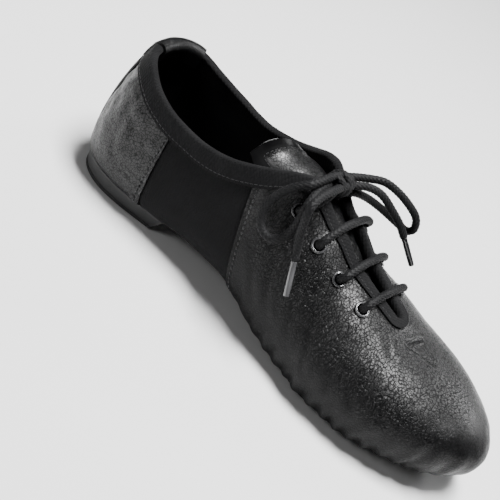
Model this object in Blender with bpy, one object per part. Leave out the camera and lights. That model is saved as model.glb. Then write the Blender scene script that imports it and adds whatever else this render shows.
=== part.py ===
"""Lace-up jazz shoe for the right foot, with a split sole, as an assembly of separate solids.

Metres, +Z up. X runs from the heel to the toe, +Y is the inner (medial) side of the foot and
-Y the outer (lateral) side. The shoe stands on Z = 0 with its origin at the middle of its box.
Every leather piece is cut from one function, skin(), which gives the outside of the last.
"""

import math

import bmesh
import bpy
import numpy as np
from mathutils import Matrix, Vector

# Driving dimensions of the last
LENGTH = 0.250  # back of the heel to the toe tip, outside
BALL_WIDTH = 0.084  # outside, across the ball
HEEL_WIDTH = 0.0612  # outside, across the heel
INSTEP_HEIGHT = 0.063  # ridge above the underside, half way along
COLLAR_HEIGHT = 0.062  # collar's back above the heel block
HEEL_CURVE = 0.152 * LENGTH  # length of the rounded back
TOE_CURVE = 0.246 * LENGTH  # length of the rounded toe
HEEL_ROUNDNESS = 2.5  # exponents of the two rounded ends
TOE_ROUNDNESS = 1.9
TOE_RIDGE = 0.45  # share of the toe's curve that the ridge reaches
FEATHER_INSET = 0.008  # underside's edge inside the widest line
ARCH_RISE = 0.002  # waist above the heel seat
TOE_SPRING = 0.0088  # toe tip above the ball

# Bottom pieces
HEEL_HEIGHT = 0.0095
HEEL_LENGTH = 0.252 * LENGTH
HEEL_INSET = 0.0006  # top of the block inside the feather line
HEEL_TAPER = 0.0008  # foot of the block inside its top
BREAST_LEAN = 0.005  # foot of the block's front face behind its top
SOLE_THICKNESS = 0.0027
SOLE_INSET = 0.003
SOLE_BACK = 0.512 * LENGTH  # where the forefoot sole starts
INSOLE_THICKNESS = 0.002
INSOLE_INSET = 0.0012
SOLE_CORNER = 0.012
BACK_FLAT = 0.5  # share of the forefoot sole's back edge that is straight
HEEL_EDGE = 0.0005
TIP_CUT = 0.12  # radians left off a plate's rounded end

# Upper
WALL = 0.0022
STRETCH_STEP = 0.0007  # elastic insert below the leather beside it
SEAM_RUN = 0.0006  # width of the step at a seam
LASTING_MARGIN = 0.012
COUNTER_SEAM = 0.1888 * LENGTH  # where the seams cross the widest line
VAMP_SEAM = 0.4072 * LENGTH
THROAT_WIDTH = 0.020  # between the facings, at the top eyelets
THROAT_END = 0.712 * LENGTH
CORNER = 0.428 * LENGTH  # front corner of the collar
CORNER_RUN = 0.004  # half of the length in which collar turns into throat
GAP = 0.0003  # between pieces that touch
BINDING_SEAT = 0.0004  # tape above the leather

# Trim
BINDING_WIDTH = 0.009
BINDING_THICKNESS = 0.0008
INNER_SHARE = 0.85  # the tape's inner half beside its outer half
TAB_LAP = 0.0006  # tab past the binding's edge
STRAP_GAP = 0.0005  # between the tab and the strap's end
STRAP_FOOT = -0.55  # where the strap ends, between the feather (-1) and the widest line (0)
TAB_THICKNESS = 0.0010
TAB_REACH = 0.031  # round the heel, from its middle to the tab's inner end
STRAP_WIDTH = 0.0156
STRAP_THICKNESS = 0.0010
PIPING_WIDTH = 0.0014
PIPING_HEIGHT = 0.0006
TONGUE_THICKNESS = 0.0018
TONGUE_PLAY = 0.0012  # under the tape and the eyelets' ends
TONGUE_SEAT = 0.0005  # under the vamp, where the tongue is sewn in
TONGUE_TOP = 0.336 * LENGTH
TONGUE_FRONT = 0.76 * LENGTH
TONGUE_WIDTH = 0.040
TONGUE_SKEW = 0.35  # its inner end reaches further forward
TONGUE_BAND = 0.0045  # bound edge
BAND_STEP = 0.0005
BAND_EDGE = 0.0004
TONGUE_RISE = 0.010  # length in which the tongue rises to its seat

# Lacing
EYELETS = 4
EYELET_FIRST = 0.45 * LENGTH
EYELET_PITCH = 0.0664 * LENGTH
EYELET_ROW = 0.0210  # lateral row from the middle, at the top
EYELET_ROW_TAPER = 0.0008  # closer by this at each next eyelet
MEDIAL_FORWARD = 0.018 * LENGTH  # the inner row sits further forward
MEDIAL_INWARD = 0.0025  # and closer to the middle
EYELET_HOLE = 0.0048
EYELET_BARREL = 0.0056
EYELET_FLANGE = 0.0076
FLANGE_SEAT = 0.0006  # flange above the leather at its middle, clear of its edges
FLANGE_THICKNESS = 0.0006
EYELET_CURL = 0.0064
CURL_THICKNESS = 0.0003
CURL_PLAY = 0.0005
BAR_STEP = 0.0026  # between a lace's points
LOOP_STEP = 0.0034
BAR_PLAY = 0.00065  # between a bar and the tape that it crosses
BAR_SHARES = (0.2, 0.36, 0.5, 0.64, 0.8)  # of a bar's way across, where its height is set
LACE_LEAN = 0.7  # the lace turns inwards by this share of its diameter as it leaves an eyelet
LACE_BEND = 0.45  # share of its rise at which it starts to turn
LACE_DIAMETER = 0.0038
LACE_DIP = 0.0006  # the lace's ends inside the eyelets
LACE_RISE = 0.0002
AGLET_DIAMETER = 0.0031
AGLET_LENGTH = 0.016
AGLET_GAP = 0.0004  # from the cord's end
KNOT_SIZE = (0.0112, 0.0094, 0.0126)
KNOT_SIDES = 10

MARGIN_LAP = 0.004  # upper's underside runs this far over heel and sole
THROAT_LIP = 0.002  # rounded end of the throat
BINDING_LAP = 0.0015  # leather under the binding's edge

# Mesh steps
HEEL_STEPS = 4
WAIST_STEPS = 6
VAMP_STEPS = 9
TOE_STEPS = 8
LOWER_STEPS = 4
UPPER_STEPS = 6
STRAP_STEPS = 10
TONGUE_STEPS = 10
SOLE_STEPS = 7
HEEL_SIDES = 11
EYELET_SIDES = 12
LATERAL, MEDIAL = -1, 1


def table(names, rows):
    """A table with named columns, a row for each section."""
    return dict(zip(names.split(), np.array(rows, float).T))


# Half widths, as shares of HEEL_WIDTH and BALL_WIDTH, and the feather's inset
PLAN = table(
    "x heel lateral medial inset",
    (
        (0.000, 0.500, 0.000, 0.000, 0.36),
        (0.152, 0.500, 0.000, 0.000, 0.48),
        (0.280, 0.478, 0.000, 0.000, 0.93),
        (0.400, 0.489, 0.000, 0.000, 1.10),
        (0.520, 0.280, 0.207, 0.207, 1.00),
        (0.640, 0.000, 0.468, 0.485, 0.90),
        (0.740, 0.000, 0.480, 0.520, 0.94),
        (0.860, 0.000, 0.454, 0.519, 1.00),
        (1.000, 0.000, 0.420, 0.501, 1.02),
    ),
)
# The underside's rise (shares of the heel's, ARCH_RISE and TOE_SPRING), the widest line and the
# ridge above it (shares of COLLAR_HEIGHT and INSTEP_HEIGHT), and the lean of the sections
SIDE = table(
    "x seat arch spring widest collar instep roundness lean",
    (
        (0.000, 1.00, 0.0, 0.00, 0.250, 1.54, 0.000, 2.0, 0.00),
        (0.152, 1.00, 0.0, 0.00, 0.256, 1.54, 0.000, 2.0, 0.00),
        (0.245, 1.00, 0.0, 0.00, 0.262, 1.53, 0.000, 2.0, 0.31),
        (0.320, 1.00, 1.0, 0.00, 0.265, 1.45, 0.000, 2.0, 0.34),
        (0.400, 0.99, 1.0, 0.00, 0.264, 0.62, 0.666, 2.0, 0.38),
        (0.460, 0.78, 0.4, 0.00, 0.280, 0.25, 0.873, 2.0, 0.32),
        (0.520, 0.42, 0.0, 0.00, 0.294, 0.00, 1.000, 2.0, 0.22),
        (0.600, 0.00, 0.0, 0.00, 0.275, 0.00, 0.882, 2.0, 0.12),
        (0.740, 0.00, 0.0, 0.00, 0.250, 0.00, 0.703, 2.2, 0.00),
        (0.860, 0.00, 0.0, 0.36, 0.221, 0.00, 0.617, 2.3, 0.00),
        (1.000, 0.00, 0.0, 1.00, 0.183, 0.00, 0.577, 2.3, 0.00),
    ),
)
LEVEL_FIRST = 7  # the rows of SIDE between which the forefoot's underside is level

# Height of the collar, as a share of the ridge's, and width of the binding
COLLAR = table(
    "x lateral medial binding",
    (
        (0.000, 0.649, 0.649, 1.00),
        (0.056, 0.631, 0.636, 1.00),
        (0.112, 0.574, 0.588, 1.00),
        (0.160, 0.541, 0.567, 1.00),
        (0.220, 0.532, 0.556, 1.00),
        (0.280, 0.563, 0.560, 1.00),
        (0.330, 0.640, 0.625, 1.00),
        (0.380, 0.780, 0.770, 0.95),
        (0.428, 0.907, 0.907, 0.70),
        (0.472, 0.960, 0.960, 0.62),
    ),
)
# Half opening of the throat, as a share of THROAT_WIDTH
THROAT = table(
    "x opening",
    ((0.400, 0.86), (0.428, 0.71), (0.472, 0.50), (0.580, 0.37), (0.660, 0.23), (0.712, 0.13)),
)
# The tongue's crown below the ridge, as a share of INSTEP_HEIGHT, its roundness and its width
TONGUE = table(
    "x sink roundness width",
    (
        (0.320, 0.232, 2.0, 0.86),
        (0.384, 0.205, 2.4, 0.88),
        (0.428, 0.115, 2.5, 0.92),
        (0.472, 0.040, 2.3, 0.97),
        (0.540, 0.000, 2.1, 1.00),
        (0.640, 0.000, 2.1, 0.96),
        (0.760, 0.000, 2.2, 0.80),
    ),
)

# Lace routes chosen by hand, in thousandths of a metre, x from the first lateral eyelet
KNOT_CENTRE = (EYELET_FIRST + 0.0027, -0.0015, 0.0800)
ROUTES = {
    "lace_top_lateral": (
        (4.1, -17.8, 75.3), (4.9, -13.9, 77.8), (4.8, -10.6, 79.0), (4.4, -7.4, 78.2),
    ),
    "lace_top_medial": (
        (6.4, 16.2, 75.4), (6.1, 13.2, 77.6), (5.1, 10.0, 79.2), (3.7, 4.8, 78.0),
    ),
    "lace_loop_lateral": (
        (-0.2, -8.4, 84.6), (-0.9, -16.6, 84.5), (-2.4, -23.7, 83.1), (-5.5, -26.4, 80.0),
        (-8.0, -28.1, 76.6), (-10.1, -29.4, 72.1), (-11.2, -31.1, 67.5), (-11.2, -32.2, 62.8),
        (-9.8, -32.9, 58.6), (-7.3, -33.5, 55.5), (-3.6, -33.7, 54.0), (-0.2, -33.4, 54.4),
        (2.3, -32.8, 56.4), (3.8, -31.8, 59.4), (4.4, -31.0, 63.0), (4.4, -30.7, 66.8),
        (3.9, -30.4, 71.4), (3.3, -29.8, 75.0), (2.5, -27.6, 77.6), (1.5, -22.7, 79.8),
        (0.7, -16.1, 80.7), (0.6, -11.5, 80.9), (0.4, -7.4, 80.0),
    ),
    "lace_end_lateral": (
        (5.8, -7.6, 82.5), (5.7, -13.0, 83.4), (5.3, -20.0, 84.0), (5.0, -27.4, 83.3),
        (5.3, -33.4, 81.5), (6.2, -35.3, 78.2), (7.3, -35.0, 73.5), (8.6, -33.5, 67.6),
        (10.3, -32.6, 62.5), (12.4, -32.5, 58.0), (14.4, -33.8, 54.6),
    ),
    "lace_loop_medial": (
        (3.3, 5.5, 82.7), (6.0, 10.3, 83.3), (10.1, 15.2, 84.4), (15.8, 20.1, 85.8),
        (22.8, 25.1, 84.1), (30.3, 29.0, 81.0), (36.6, 32.0, 76.9), (39.2, 34.0, 70.8),
        (37.3, 34.0, 67.5), (32.1, 31.0, 68.5), (24.1, 26.0, 71.2), (15.8, 19.0, 74.2),
        (10.1, 10.0, 76.8), (7.7, 5.0, 76.3),
    ),
    "lace_end_medial": (
        (7.3, 4.6, 81.0), (12.6, 9.8, 83.3), (19.2, 14.9, 82.5), (26.8, 18.9, 78.2),
        (33.9, 22.5, 73.4), (39.2, 25.0, 68.4),
    ),
}
# The knot's rings along Y, as shares of half of KNOT_SIZE: wrapped round its middle
KNOT = (
    (-1.00, 0.50, 0.56), (-0.62, 0.78, 0.76), (-0.42, 0.80, 0.78), (-0.34, 0.96, 0.96),
    (0.00, 1.00, 1.00), (0.34, 0.96, 0.96), (0.42, 0.80, 0.78), (0.62, 0.78, 0.76),
    (1.00, 0.50, 0.56),
)


def at(columns, name, x):
    """A column's value at x, on a curve through the rows that keeps level stretches level."""
    xs = columns["x"] * LENGTH
    ys = columns[name]
    run = np.diff(xs)
    rise = np.diff(ys) / run
    slope = np.zeros(len(xs))
    slope[0], slope[-1] = rise[0], rise[-1]
    slope[1:-1] = (rise[:-1] * run[1:] + rise[1:] * run[:-1]) / (run[:-1] + run[1:])
    slope[1:-1][rise[:-1] * rise[1:] <= 0] = 0
    x = np.clip(x, xs[0], xs[-1])
    i = np.clip(np.searchsorted(xs, x) - 1, 0, len(run) - 1)
    t = (x - xs[i]) / run[i]
    near = (1 + 2 * t) * (1 - t) ** 2 * ys[i] + t * (1 - t) ** 2 * run[i] * slope[i]
    far = t * t * (3 - 2 * t) * ys[i + 1] - t * t * (1 - t) * run[i] * slope[i + 1]
    return near + far


def half_width(x, side):
    x = np.maximum(x, HEEL_CURVE)
    ball = at(PLAN, "medial" if side > 0 else "lateral", x)
    return at(PLAN, "heel", x) * HEEL_WIDTH + ball * BALL_WIDTH


def underside(x):
    """Height of the last's underside: level on the heel block, level at the ball, then the spring."""
    heel = HEEL_HEIGHT - SOLE_THICKNESS
    bend = at(SIDE, "arch", x) * ARCH_RISE + at(SIDE, "spring", x) * TOE_SPRING
    return SOLE_THICKNESS + GAP + at(SIDE, "seat", x) * heel + bend


def widest(x):
    return underside(x) + at(SIDE, "widest", x) * INSTEP_HEIGHT


def ridge(x):
    return (
        underside(x)
        + at(SIDE, "collar", x) * COLLAR_HEIGHT
        + at(SIDE, "instep", x) * INSTEP_HEIGHT
    )


def toe_share(x):
    """1 up to the toe's curve, falling to 0 at the toe tip."""
    u = np.clip((x - LENGTH + TOE_CURVE) / TOE_CURVE, 0, 1)
    return np.maximum(1 - u**TOE_ROUNDNESS, 0) ** (1 / TOE_ROUNDNESS)


def station(u):
    """x of a section at the widest line: u is 0 at the back, 1 where the heel's curve ends,
    2 where the toe's begins and 3 at the toe tip."""
    heel = HEEL_CURVE * (1 - np.cos(np.clip(u, 0, 1) * math.pi / 2) ** (2 / HEEL_ROUNDNESS))
    body = np.clip(u - 1, 0, 1) * (LENGTH - TOE_CURVE - HEEL_CURVE)
    return heel + body + TOE_CURVE * np.sin(np.clip(u - 2, 0, 1) * math.pi / 2) ** (2 / TOE_ROUNDNESS)


def body_u(x):
    """The u of a section of the body that crosses the widest line at x."""
    return 1 + (x - HEEL_CURVE) / (LENGTH - TOE_CURVE - HEEL_CURVE)


def roof(x, y, side):
    """Height of the last's top at a place in plan."""
    power = at(SIDE, "roundness", x)
    half = np.maximum(half_width(x, side) * toe_share(x), 1e-6)
    top = widest(x) + (ridge(x) - widest(x)) * toe_share(x)
    arc = np.maximum(1 - np.minimum(np.abs(y) / half, 1) ** power, 0) ** (1 / power)
    return widest(x) + (top - widest(x)) * arc


def section(u, side):
    """The middle of a section at the widest line, in plan, its half width and its x."""
    x = station(u)
    turn = np.clip(u - 2, 0, 1) * math.pi / 2
    heel = np.sin(np.clip(u, 0, 1) * math.pi / 2) ** (2 / HEEL_ROUNDNESS)
    toe = np.maximum(np.cos(turn), 0) ** (2 / TOE_ROUNDNESS)
    middle = np.where(u < 1, HEEL_CURVE, x)
    middle = np.where(u > 2, LENGTH - TOE_CURVE * (1 - TOE_RIDGE * np.sin(turn)), middle)
    return middle, half_width(x, side) * heel * toe, x


def skin(u, side, v):
    """Points on the last's outside. v is -1 on the feather line, 0 on the widest line and 1 on the
    ridge. The sections of the body lean back as they rise, as the shoe's seams do."""
    u, v = np.broadcast_arrays(np.asarray(u, float), np.asarray(v, float))
    over, under = np.clip(v, 0, 1) * math.pi / 2, np.clip(1 + v, 0, 1) * math.pi / 2
    middle, half, x = section(u, side)
    power = 2 / at(SIDE, "roundness", x)
    high = np.sin(over) ** power * (ridge(x) - widest(x))
    low = -np.cos(under) * (widest(x) - underside(x))
    body = (u > 1) & (u < 2)
    shift = np.where(body, at(SIDE, "lean", x) * np.where(v < 0, low, high), 0)
    x, middle = x - shift, middle - shift
    half = np.where(body, half_width(x, side), half)
    run = np.maximum(np.hypot(x - middle, half), 1e-9)
    inset = np.minimum(at(PLAN, "inset", x) * FEATHER_INSET, 0.9 * run) / run
    power = 2 / at(SIDE, "roundness", x)
    reach = np.maximum(np.cos(over), 0) ** np.where(u > 2, 1, power)
    reach = np.where(v < 0, 1 - inset * (1 - np.sin(under)), reach)
    px, py = middle + (x - middle) * reach, half * reach
    foot = underside(middle + (x - middle) * (1 - inset))
    low = foot + (widest(x) - foot) * (1 - np.cos(under))
    high = widest(x) + (ridge(x) - widest(x)) * np.sin(over) ** power
    z = np.where(v < 0, low, np.where(u > 2, roof(px, py, side), high))
    return np.stack([px, side * py, z], -1)


def outward(u, side, v):
    """Unit normals of skin()."""
    step = 1e-3
    u, v = np.broadcast_arrays(np.asarray(u, float), np.asarray(v, float))
    v = np.clip(v, -1, 1 - step)
    along = skin(np.clip(u + step, 0, 3), side, v) - skin(np.clip(u - step, 0, 3), side, v)
    up = skin(u, side, np.clip(v + step, -1, 1)) - skin(u, side, np.clip(v - step, -1, 1))
    n = np.cross(along, up) * -side
    n[np.abs(skin(u, side, v)[..., 1]) < 1e-4, 1] *= 0
    return n / np.linalg.norm(n, axis=-1, keepdims=True)


def heel_u(distance):
    """The u of the section that lies this far round the heel from its middle."""
    u = np.linspace(0, 1, 201)
    steps = np.linalg.norm(np.diff(skin(u, MEDIAL, 0), axis=0), axis=-1)
    return float(np.interp(distance, np.concatenate([[0], np.cumsum(steps)]), u))


def edge_v(x, side):
    """The v of the upper's top edge: the collar's height, then the throat's half opening."""
    name = "medial" if side > 0 else "lateral"
    power = at(SIDE, "roundness", x) / 2
    height = at(COLLAR, name, x) * (ridge(x) - underside(x)) + underside(x)
    height = (height - widest(x)) / (ridge(x) - widest(x))
    collar = np.arcsin(height**power)
    opening = at(THROAT, "opening", x) * THROAT_WIDTH / half_width(x, side)
    throat = np.arccos(opening**power)
    turn = np.clip((x - CORNER + CORNER_RUN) / (2 * CORNER_RUN), 0, 1)
    turn = turn * turn * (3 - 2 * turn)
    return np.where(x > THROAT_END, 1, (collar + (throat - collar) * turn) * 2 / math.pi)


def rim_v(u, side):
    """The v at which a section meets the top edge."""
    v = np.linspace(0.05, 1, 400)
    over = v - edge_v(skin(u, side, v)[:, 0], side)
    i = int(np.argmax(over >= 0))
    return float(v[i] - over[i] * (v[i] - v[i - 1]) / (over[i] - over[i - 1]))


def below_rim(u, side, distance):
    """The v at this distance down a section from its top edge."""
    v = np.linspace(rim_v(u, side), -1, 200)
    steps = np.linalg.norm(np.diff(skin(u, side, v), axis=0), axis=-1)
    return float(np.interp(distance, np.concatenate([[0], np.cumsum(steps)]), v))


def sections_u():
    """The sections that every piece of the upper shares, from the back to the toe tip."""
    strap, tab = heel_u(STRAP_WIDTH / 2), heel_u(TAB_REACH)
    heel = [0.0, *np.linspace(strap, tab, HEEL_STEPS + 1), (1 + tab) / 2]
    waist = np.linspace(COUNTER_SEAM + SEAM_RUN, VAMP_SEAM, WAIST_STEPS + 1)
    vamp = np.linspace(VAMP_SEAM + SEAM_RUN, THROAT_END - THROAT_LIP, VAMP_STEPS + 1)
    closed = np.linspace(THROAT_END + THROAT_LIP, LENGTH - TOE_CURVE, 3)
    body = np.concatenate([[HEEL_CURVE, COUNTER_SEAM], waist, vamp, closed])
    return [*heel, *body_u(body), *np.linspace(2, 3, TOE_STEPS + 1)[1:]]


def is_open(u):
    """Whether a section is cut by the collar or the throat."""
    return station(u) < THROAT_END


def is_stretch(u):
    """Whether a section lies in the elastic insert, between the middles of its seams' steps."""
    return COUNTER_SEAM + SEAM_RUN / 2 < station(u) < VAMP_SEAM + SEAM_RUN / 2


def binding_width(u, side):
    x = skin(u, side, rim_v(u, side))[..., 0]
    return float(at(COLLAR, "binding", x)) * BINDING_WIDTH


def clear_scene():
    for o in list(bpy.data.objects):
        bpy.data.objects.remove(o, do_unlink=True)


def material(name, colour, roughness, metallic=0.0):
    m = bpy.data.materials.new(name)
    m.use_nodes = True
    shader = m.node_tree.nodes["Principled BSDF"]
    shader.inputs["Base Color"].default_value = (*colour, 1)
    shader.inputs["Roughness"].default_value = roughness
    shader.inputs["Metallic"].default_value = metallic
    return m


def finish(name, mesh, look):
    """Make the object of a mesh, shaded smooth between its sharp edges."""
    mesh.materials.append(look)
    mesh.shade_smooth()
    mesh.set_sharp_from_angle(angle=math.radians(40))
    o = bpy.data.objects.new(name, mesh)
    bpy.context.scene.collection.objects.link(o)
    return o


def build(name, points, faces, look):
    """A closed solid from points and faces, its normals turned outwards."""
    mesh = bpy.data.meshes.new(name)
    bm = bmesh.new()
    verts = [bm.verts.new(p) for p in points]
    for f in faces:
        bm.faces.new([verts[i] for i in f])
    bmesh.ops.recalc_face_normals(bm, faces=bm.faces)
    bm.to_mesh(mesh)
    bm.free()
    return finish(name, mesh, look)


def wall(name, grids, look):
    """A solid between two sheets. Each grid holds its places, which weld it to the other grids,
    and the front and back points that belong to them."""
    index, front, back, faces = {}, [], [], []
    for places, fronts, backs in grids:
        ids = np.zeros(places.shape[:2], int)
        for i, j in np.ndindex(*ids.shape):
            key = tuple(np.round(places[i, j] * 1e6).astype(int).tolist())
            if key not in index:
                index[key] = len(front)
                front.append(fronts[i, j])
                back.append(backs[i, j])
            ids[i, j] = index[key]
        for i, j in np.ndindex(ids.shape[0] - 1, ids.shape[1] - 1):
            corners = [ids[i, j], ids[i + 1, j], ids[i + 1, j + 1], ids[i, j + 1]]
            ring = [int(c) for n, c in enumerate(corners) if c != corners[n - 1]]
            if len(set(ring)) > 2:
                faces.append(ring if grids[0][0] is places else ring[::-1])
    count = len(front)
    edges = {(f[n - 1], f[n]) for f in faces for n in range(len(f))}
    rims = [(a, b, b + count, a + count) for a, b in edges if (b, a) not in edges]
    backs = [[i + count for i in reversed(f)] for f in faces]
    return build(name, front + back, faces + rims + backs, look)


def sweep(name, rings, look, closed=False):
    """A solid through rings of as many points each, closed on itself or capped at its ends."""
    rings = np.asarray(rings)
    count, around = rings.shape[:2]
    faces = []
    for i in range(count if closed else count - 1):
        for j in range(around):
            a, b = i * around, (i + 1) % count * around
            faces.append([a + j, a + (j + 1) % around, b + (j + 1) % around, b + j])
    if not closed:
        faces += [list(range(around)), [(count - 1) * around + j for j in range(around)]]
    return build(name, rings.reshape(-1, 3), faces, look)


def upper_grid(side):
    """Places, outside and inside of one half of the upper."""
    places, fronts, backs = [], [], []
    for u in sections_u():
        low = list(np.linspace(-1, 0, LOWER_STEPS + 1))
        if is_open(u):
            width = binding_width(u, side)
            seam = below_rim(u, side, width)
            top = [*np.linspace(0, seam, UPPER_STEPS + 1)[1:]]
            top += [below_rim(u, side, width - BINDING_LAP), rim_v(u, side)]
        else:
            top = list(np.linspace(0, 1, UPPER_STEPS + 3)[1:])
        v = np.array(low + top)
        p, n = skin(u, side, v), outward(u, side, v)
        margin = lasting_edge(u, side)
        p, n = np.vstack([margin, p]), np.vstack([n[:1], n])
        step = np.zeros(len(p))
        if is_stretch(u):
            step[:-2] = STRETCH_STEP
        places.append(p)
        fronts.append(p - n * step[:, None])
        backs.append(p - n * WALL)
    return np.array(places), np.array(fronts), np.array(backs)


def lasting_edge(u, side):
    """Where the upper ends underneath: a margin inside the feather line, or under the waist,
    which has no sole, the middle."""
    feather = skin(u, side, -1)
    middle, _, _ = section(u, side)
    if 1 < u < 2:
        middle = feather[0]
    inward = np.array([middle, 0]) - feather[:2]
    waist = HEEL_LENGTH - MARGIN_LAP < feather[0] < SOLE_BACK + MARGIN_LAP
    share = 1 if waist else min(LASTING_MARGIN / np.linalg.norm(inward), 0.8)
    x, y = feather[:2] + inward * share
    return np.array([x, 0.0 if waist else y, underside(x)])


def make_upper(look):
    upper = wall("upper", [upper_grid(LATERAL), upper_grid(MEDIAL)], look)
    cutter = bpy.data.meshes.new("eyelet_holes")
    bm = bmesh.new()
    for side in (LATERAL, MEDIAL):
        for i in range(EYELETS):
            centre, normal = eyelet_place(side, i)
            turn = normal.to_track_quat("Z", "Y").to_matrix().to_4x4()
            bmesh.ops.create_cone(
                bm, cap_ends=True, segments=EYELET_SIDES, radius1=EYELET_BARREL / 2 + GAP,
                radius2=EYELET_BARREL / 2 + GAP, depth=WALL * 4,
                matrix=Matrix.Translation(centre - normal * WALL / 2) @ turn,
            )
    bm.to_mesh(cutter)
    bm.free()
    holes = bpy.data.objects.new("eyelet_holes", cutter)
    bpy.context.scene.collection.objects.link(holes)
    holes.hide_render = True
    holes.display_type = "WIRE"
    cut = upper.modifiers.new("eyelet holes", "BOOLEAN")
    cut.operation = "DIFFERENCE"
    cut.object = holes
    return upper


def roof_normal(x, y, side):
    step = 1e-4
    slope_x = (roof(x + step, y, side) - roof(x - step, y, side)) / (2 * step)
    slope_y = (roof(x, y + step, side) - roof(x, y - step, side)) / (2 * step)
    return Vector((-float(slope_x), -float(slope_y), 1)).normalized()


def eyelet_place(side, i):
    """Centre of an eyelet on the last's outside, and the normal there."""
    x = EYELET_FIRST + i * EYELET_PITCH + (MEDIAL_FORWARD if side > 0 else 0)
    y = EYELET_ROW - i * EYELET_ROW_TAPER - (MEDIAL_INWARD if side > 0 else 0)
    return Vector((x, side * y, float(roof(x, y, side)))), roof_normal(x, side * y, side)


def make_eyelet(name, side, i, look):
    """A turned ring: flange outside, barrel through the wall, curled end inside."""
    centre, normal = eyelet_place(side, i)
    turn = normal.to_track_quat("Z", "Y").to_matrix()
    top = FLANGE_SEAT + FLANGE_THICKNESS
    low = -WALL - GAP - CURL_PLAY
    profile = (
        (EYELET_HOLE / 2, top - FLANGE_THICKNESS / 3),
        (EYELET_BARREL / 2, top),
        (EYELET_FLANGE / 2, top - FLANGE_THICKNESS / 3),
        (EYELET_FLANGE / 2, FLANGE_SEAT),
        (EYELET_BARREL / 2, FLANGE_SEAT),
        (EYELET_BARREL / 2, low),
        (EYELET_CURL / 2, low),
        (EYELET_HOLE / 2, low - CURL_THICKNESS),
    )
    rings = []
    for k in range(EYELET_SIDES):
        angle = 2 * math.pi * k / EYELET_SIDES
        ring = [Vector((r * math.cos(angle), r * math.sin(angle), h)) for r, h in profile]
        rings.append([centre + turn @ p for p in ring])
    return sweep(name, rings, look, closed=True)


def wrap_ring(u, side, widths, near, thickness):
    """A section of a strip folded over the upper's edge: near is its distance from the leather,
    widths are how far it reaches down outside and inside."""
    top = rim_v(u, side)
    far = near + thickness
    edge, n = skin(u, side, top), outward(u, side, top)
    up = edge - skin(u, side, top - 0.01)
    up = up / np.linalg.norm(up)
    v_out, v_in = (below_rim(u, side, w) for w in widths)
    out, out_n = skin(u, side, v_out), outward(u, side, v_out)
    inn, inn_n = skin(u, side, v_in), outward(u, side, v_in)
    middle, half = edge - n * WALL / 2, WALL / 2
    crown = [(math.cos(turn), math.sin(turn)) for turn in np.linspace(0, math.pi, 5)]
    ring = [out + out_n * near, out + out_n * far]
    ring += [middle + n * (half + far) * a + up * far * b for a, b in crown]
    ring += [inn - inn_n * (WALL + far), inn - inn_n * (WALL + near)]
    ring += [middle + n * (half + near) * a + up * near for a in (-1, 1)]
    return ring


def make_collar_binding(look):
    """The folded tape round the collar and down both facings, in one strip."""
    rings = []
    stations = [u for u in sections_u() if is_open(u)]
    for side, run in ((LATERAL, stations[::-1]), (MEDIAL, stations[1:])):
        for u in run:
            width = binding_width(u, side)
            widths = (width, width * INNER_SHARE)
            rings.append(wrap_ring(u, side, widths, BINDING_SEAT, BINDING_THICKNESS))
    return sweep("collar_binding", rings, look)


def make_heel_tab(look):
    """Leather folded over the binding at the back, from the strap's piped edge to the inner side."""
    reach = heel_u(TAB_REACH)
    strap = heel_u(STRAP_WIDTH / 2)
    near = BINDING_SEAT + BINDING_THICKNESS + GAP
    widths = (BINDING_WIDTH + TAB_LAP, BINDING_WIDTH * INNER_SHARE + TAB_LAP)
    inner = [u for u in sections_u() if u <= reach + 1e-6]
    rings = [wrap_ring(strap, LATERAL, widths, near, TAB_THICKNESS)]
    rings += [wrap_ring(u, MEDIAL, widths, near, TAB_THICKNESS) for u in inner]
    return sweep("heel_tab", rings, look)


def make_back_strap(look):
    """The strap over the back seam, with a piped lateral edge."""
    half = heel_u(STRAP_WIDTH / 2)
    pipe = heel_u(STRAP_WIDTH / 2 - PIPING_WIDTH)
    places, fronts, backs = [], [], []
    for side, u, raised in (
        (LATERAL, half, True), (LATERAL, pipe, True), (LATERAL, pipe - 0.01, False),
        (LATERAL, 0.0, False), (MEDIAL, half, False),
    ):
        top = below_rim(u, side, BINDING_WIDTH + TAB_LAP + STRAP_GAP)
        v = np.linspace(STRAP_FOOT, top, STRAP_STEPS)
        p, n = skin(u, side, v), outward(u, side, v)
        height = GAP + STRAP_THICKNESS + (PIPING_HEIGHT if raised else 0)
        places.append(p)
        fronts.append(p + n * height)
        backs.append(p + n * GAP)
    return wall("back_strap", [(np.array(places), np.array(fronts), np.array(backs))], look)


def tongue_point(s, t):
    """A point of the tongue's top: s runs from its free end to its seat, t across it."""
    start = TONGUE_TOP + TONGUE_SKEW * t * TONGUE_WIDTH / 2
    x = start + s * (TONGUE_FRONT - start)
    y = t * TONGUE_WIDTH / 2 * at(TONGUE, "width", x)
    side = np.where(y < 0, LATERAL, MEDIAL)
    half = np.where(y < 0, half_width(x, LATERAL), half_width(x, MEDIAL))
    seat = np.clip((x - THROAT_END) / TONGUE_RISE, 0, 1)
    clear = BINDING_SEAT + BINDING_THICKNESS + TONGUE_PLAY
    under = WALL + clear + (TONGUE_SEAT - clear) * seat
    crown = ridge(x) - under - at(TONGUE, "sink", x) * INSTEP_HEIGHT
    power = at(TONGUE, "roundness", x)
    arc = (1 - np.minimum(np.abs(y) / (half - under), 1) ** power) ** (1 / power)
    return np.stack([x, y, widest(x) + (crown - widest(x)) * arc], -1)


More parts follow.
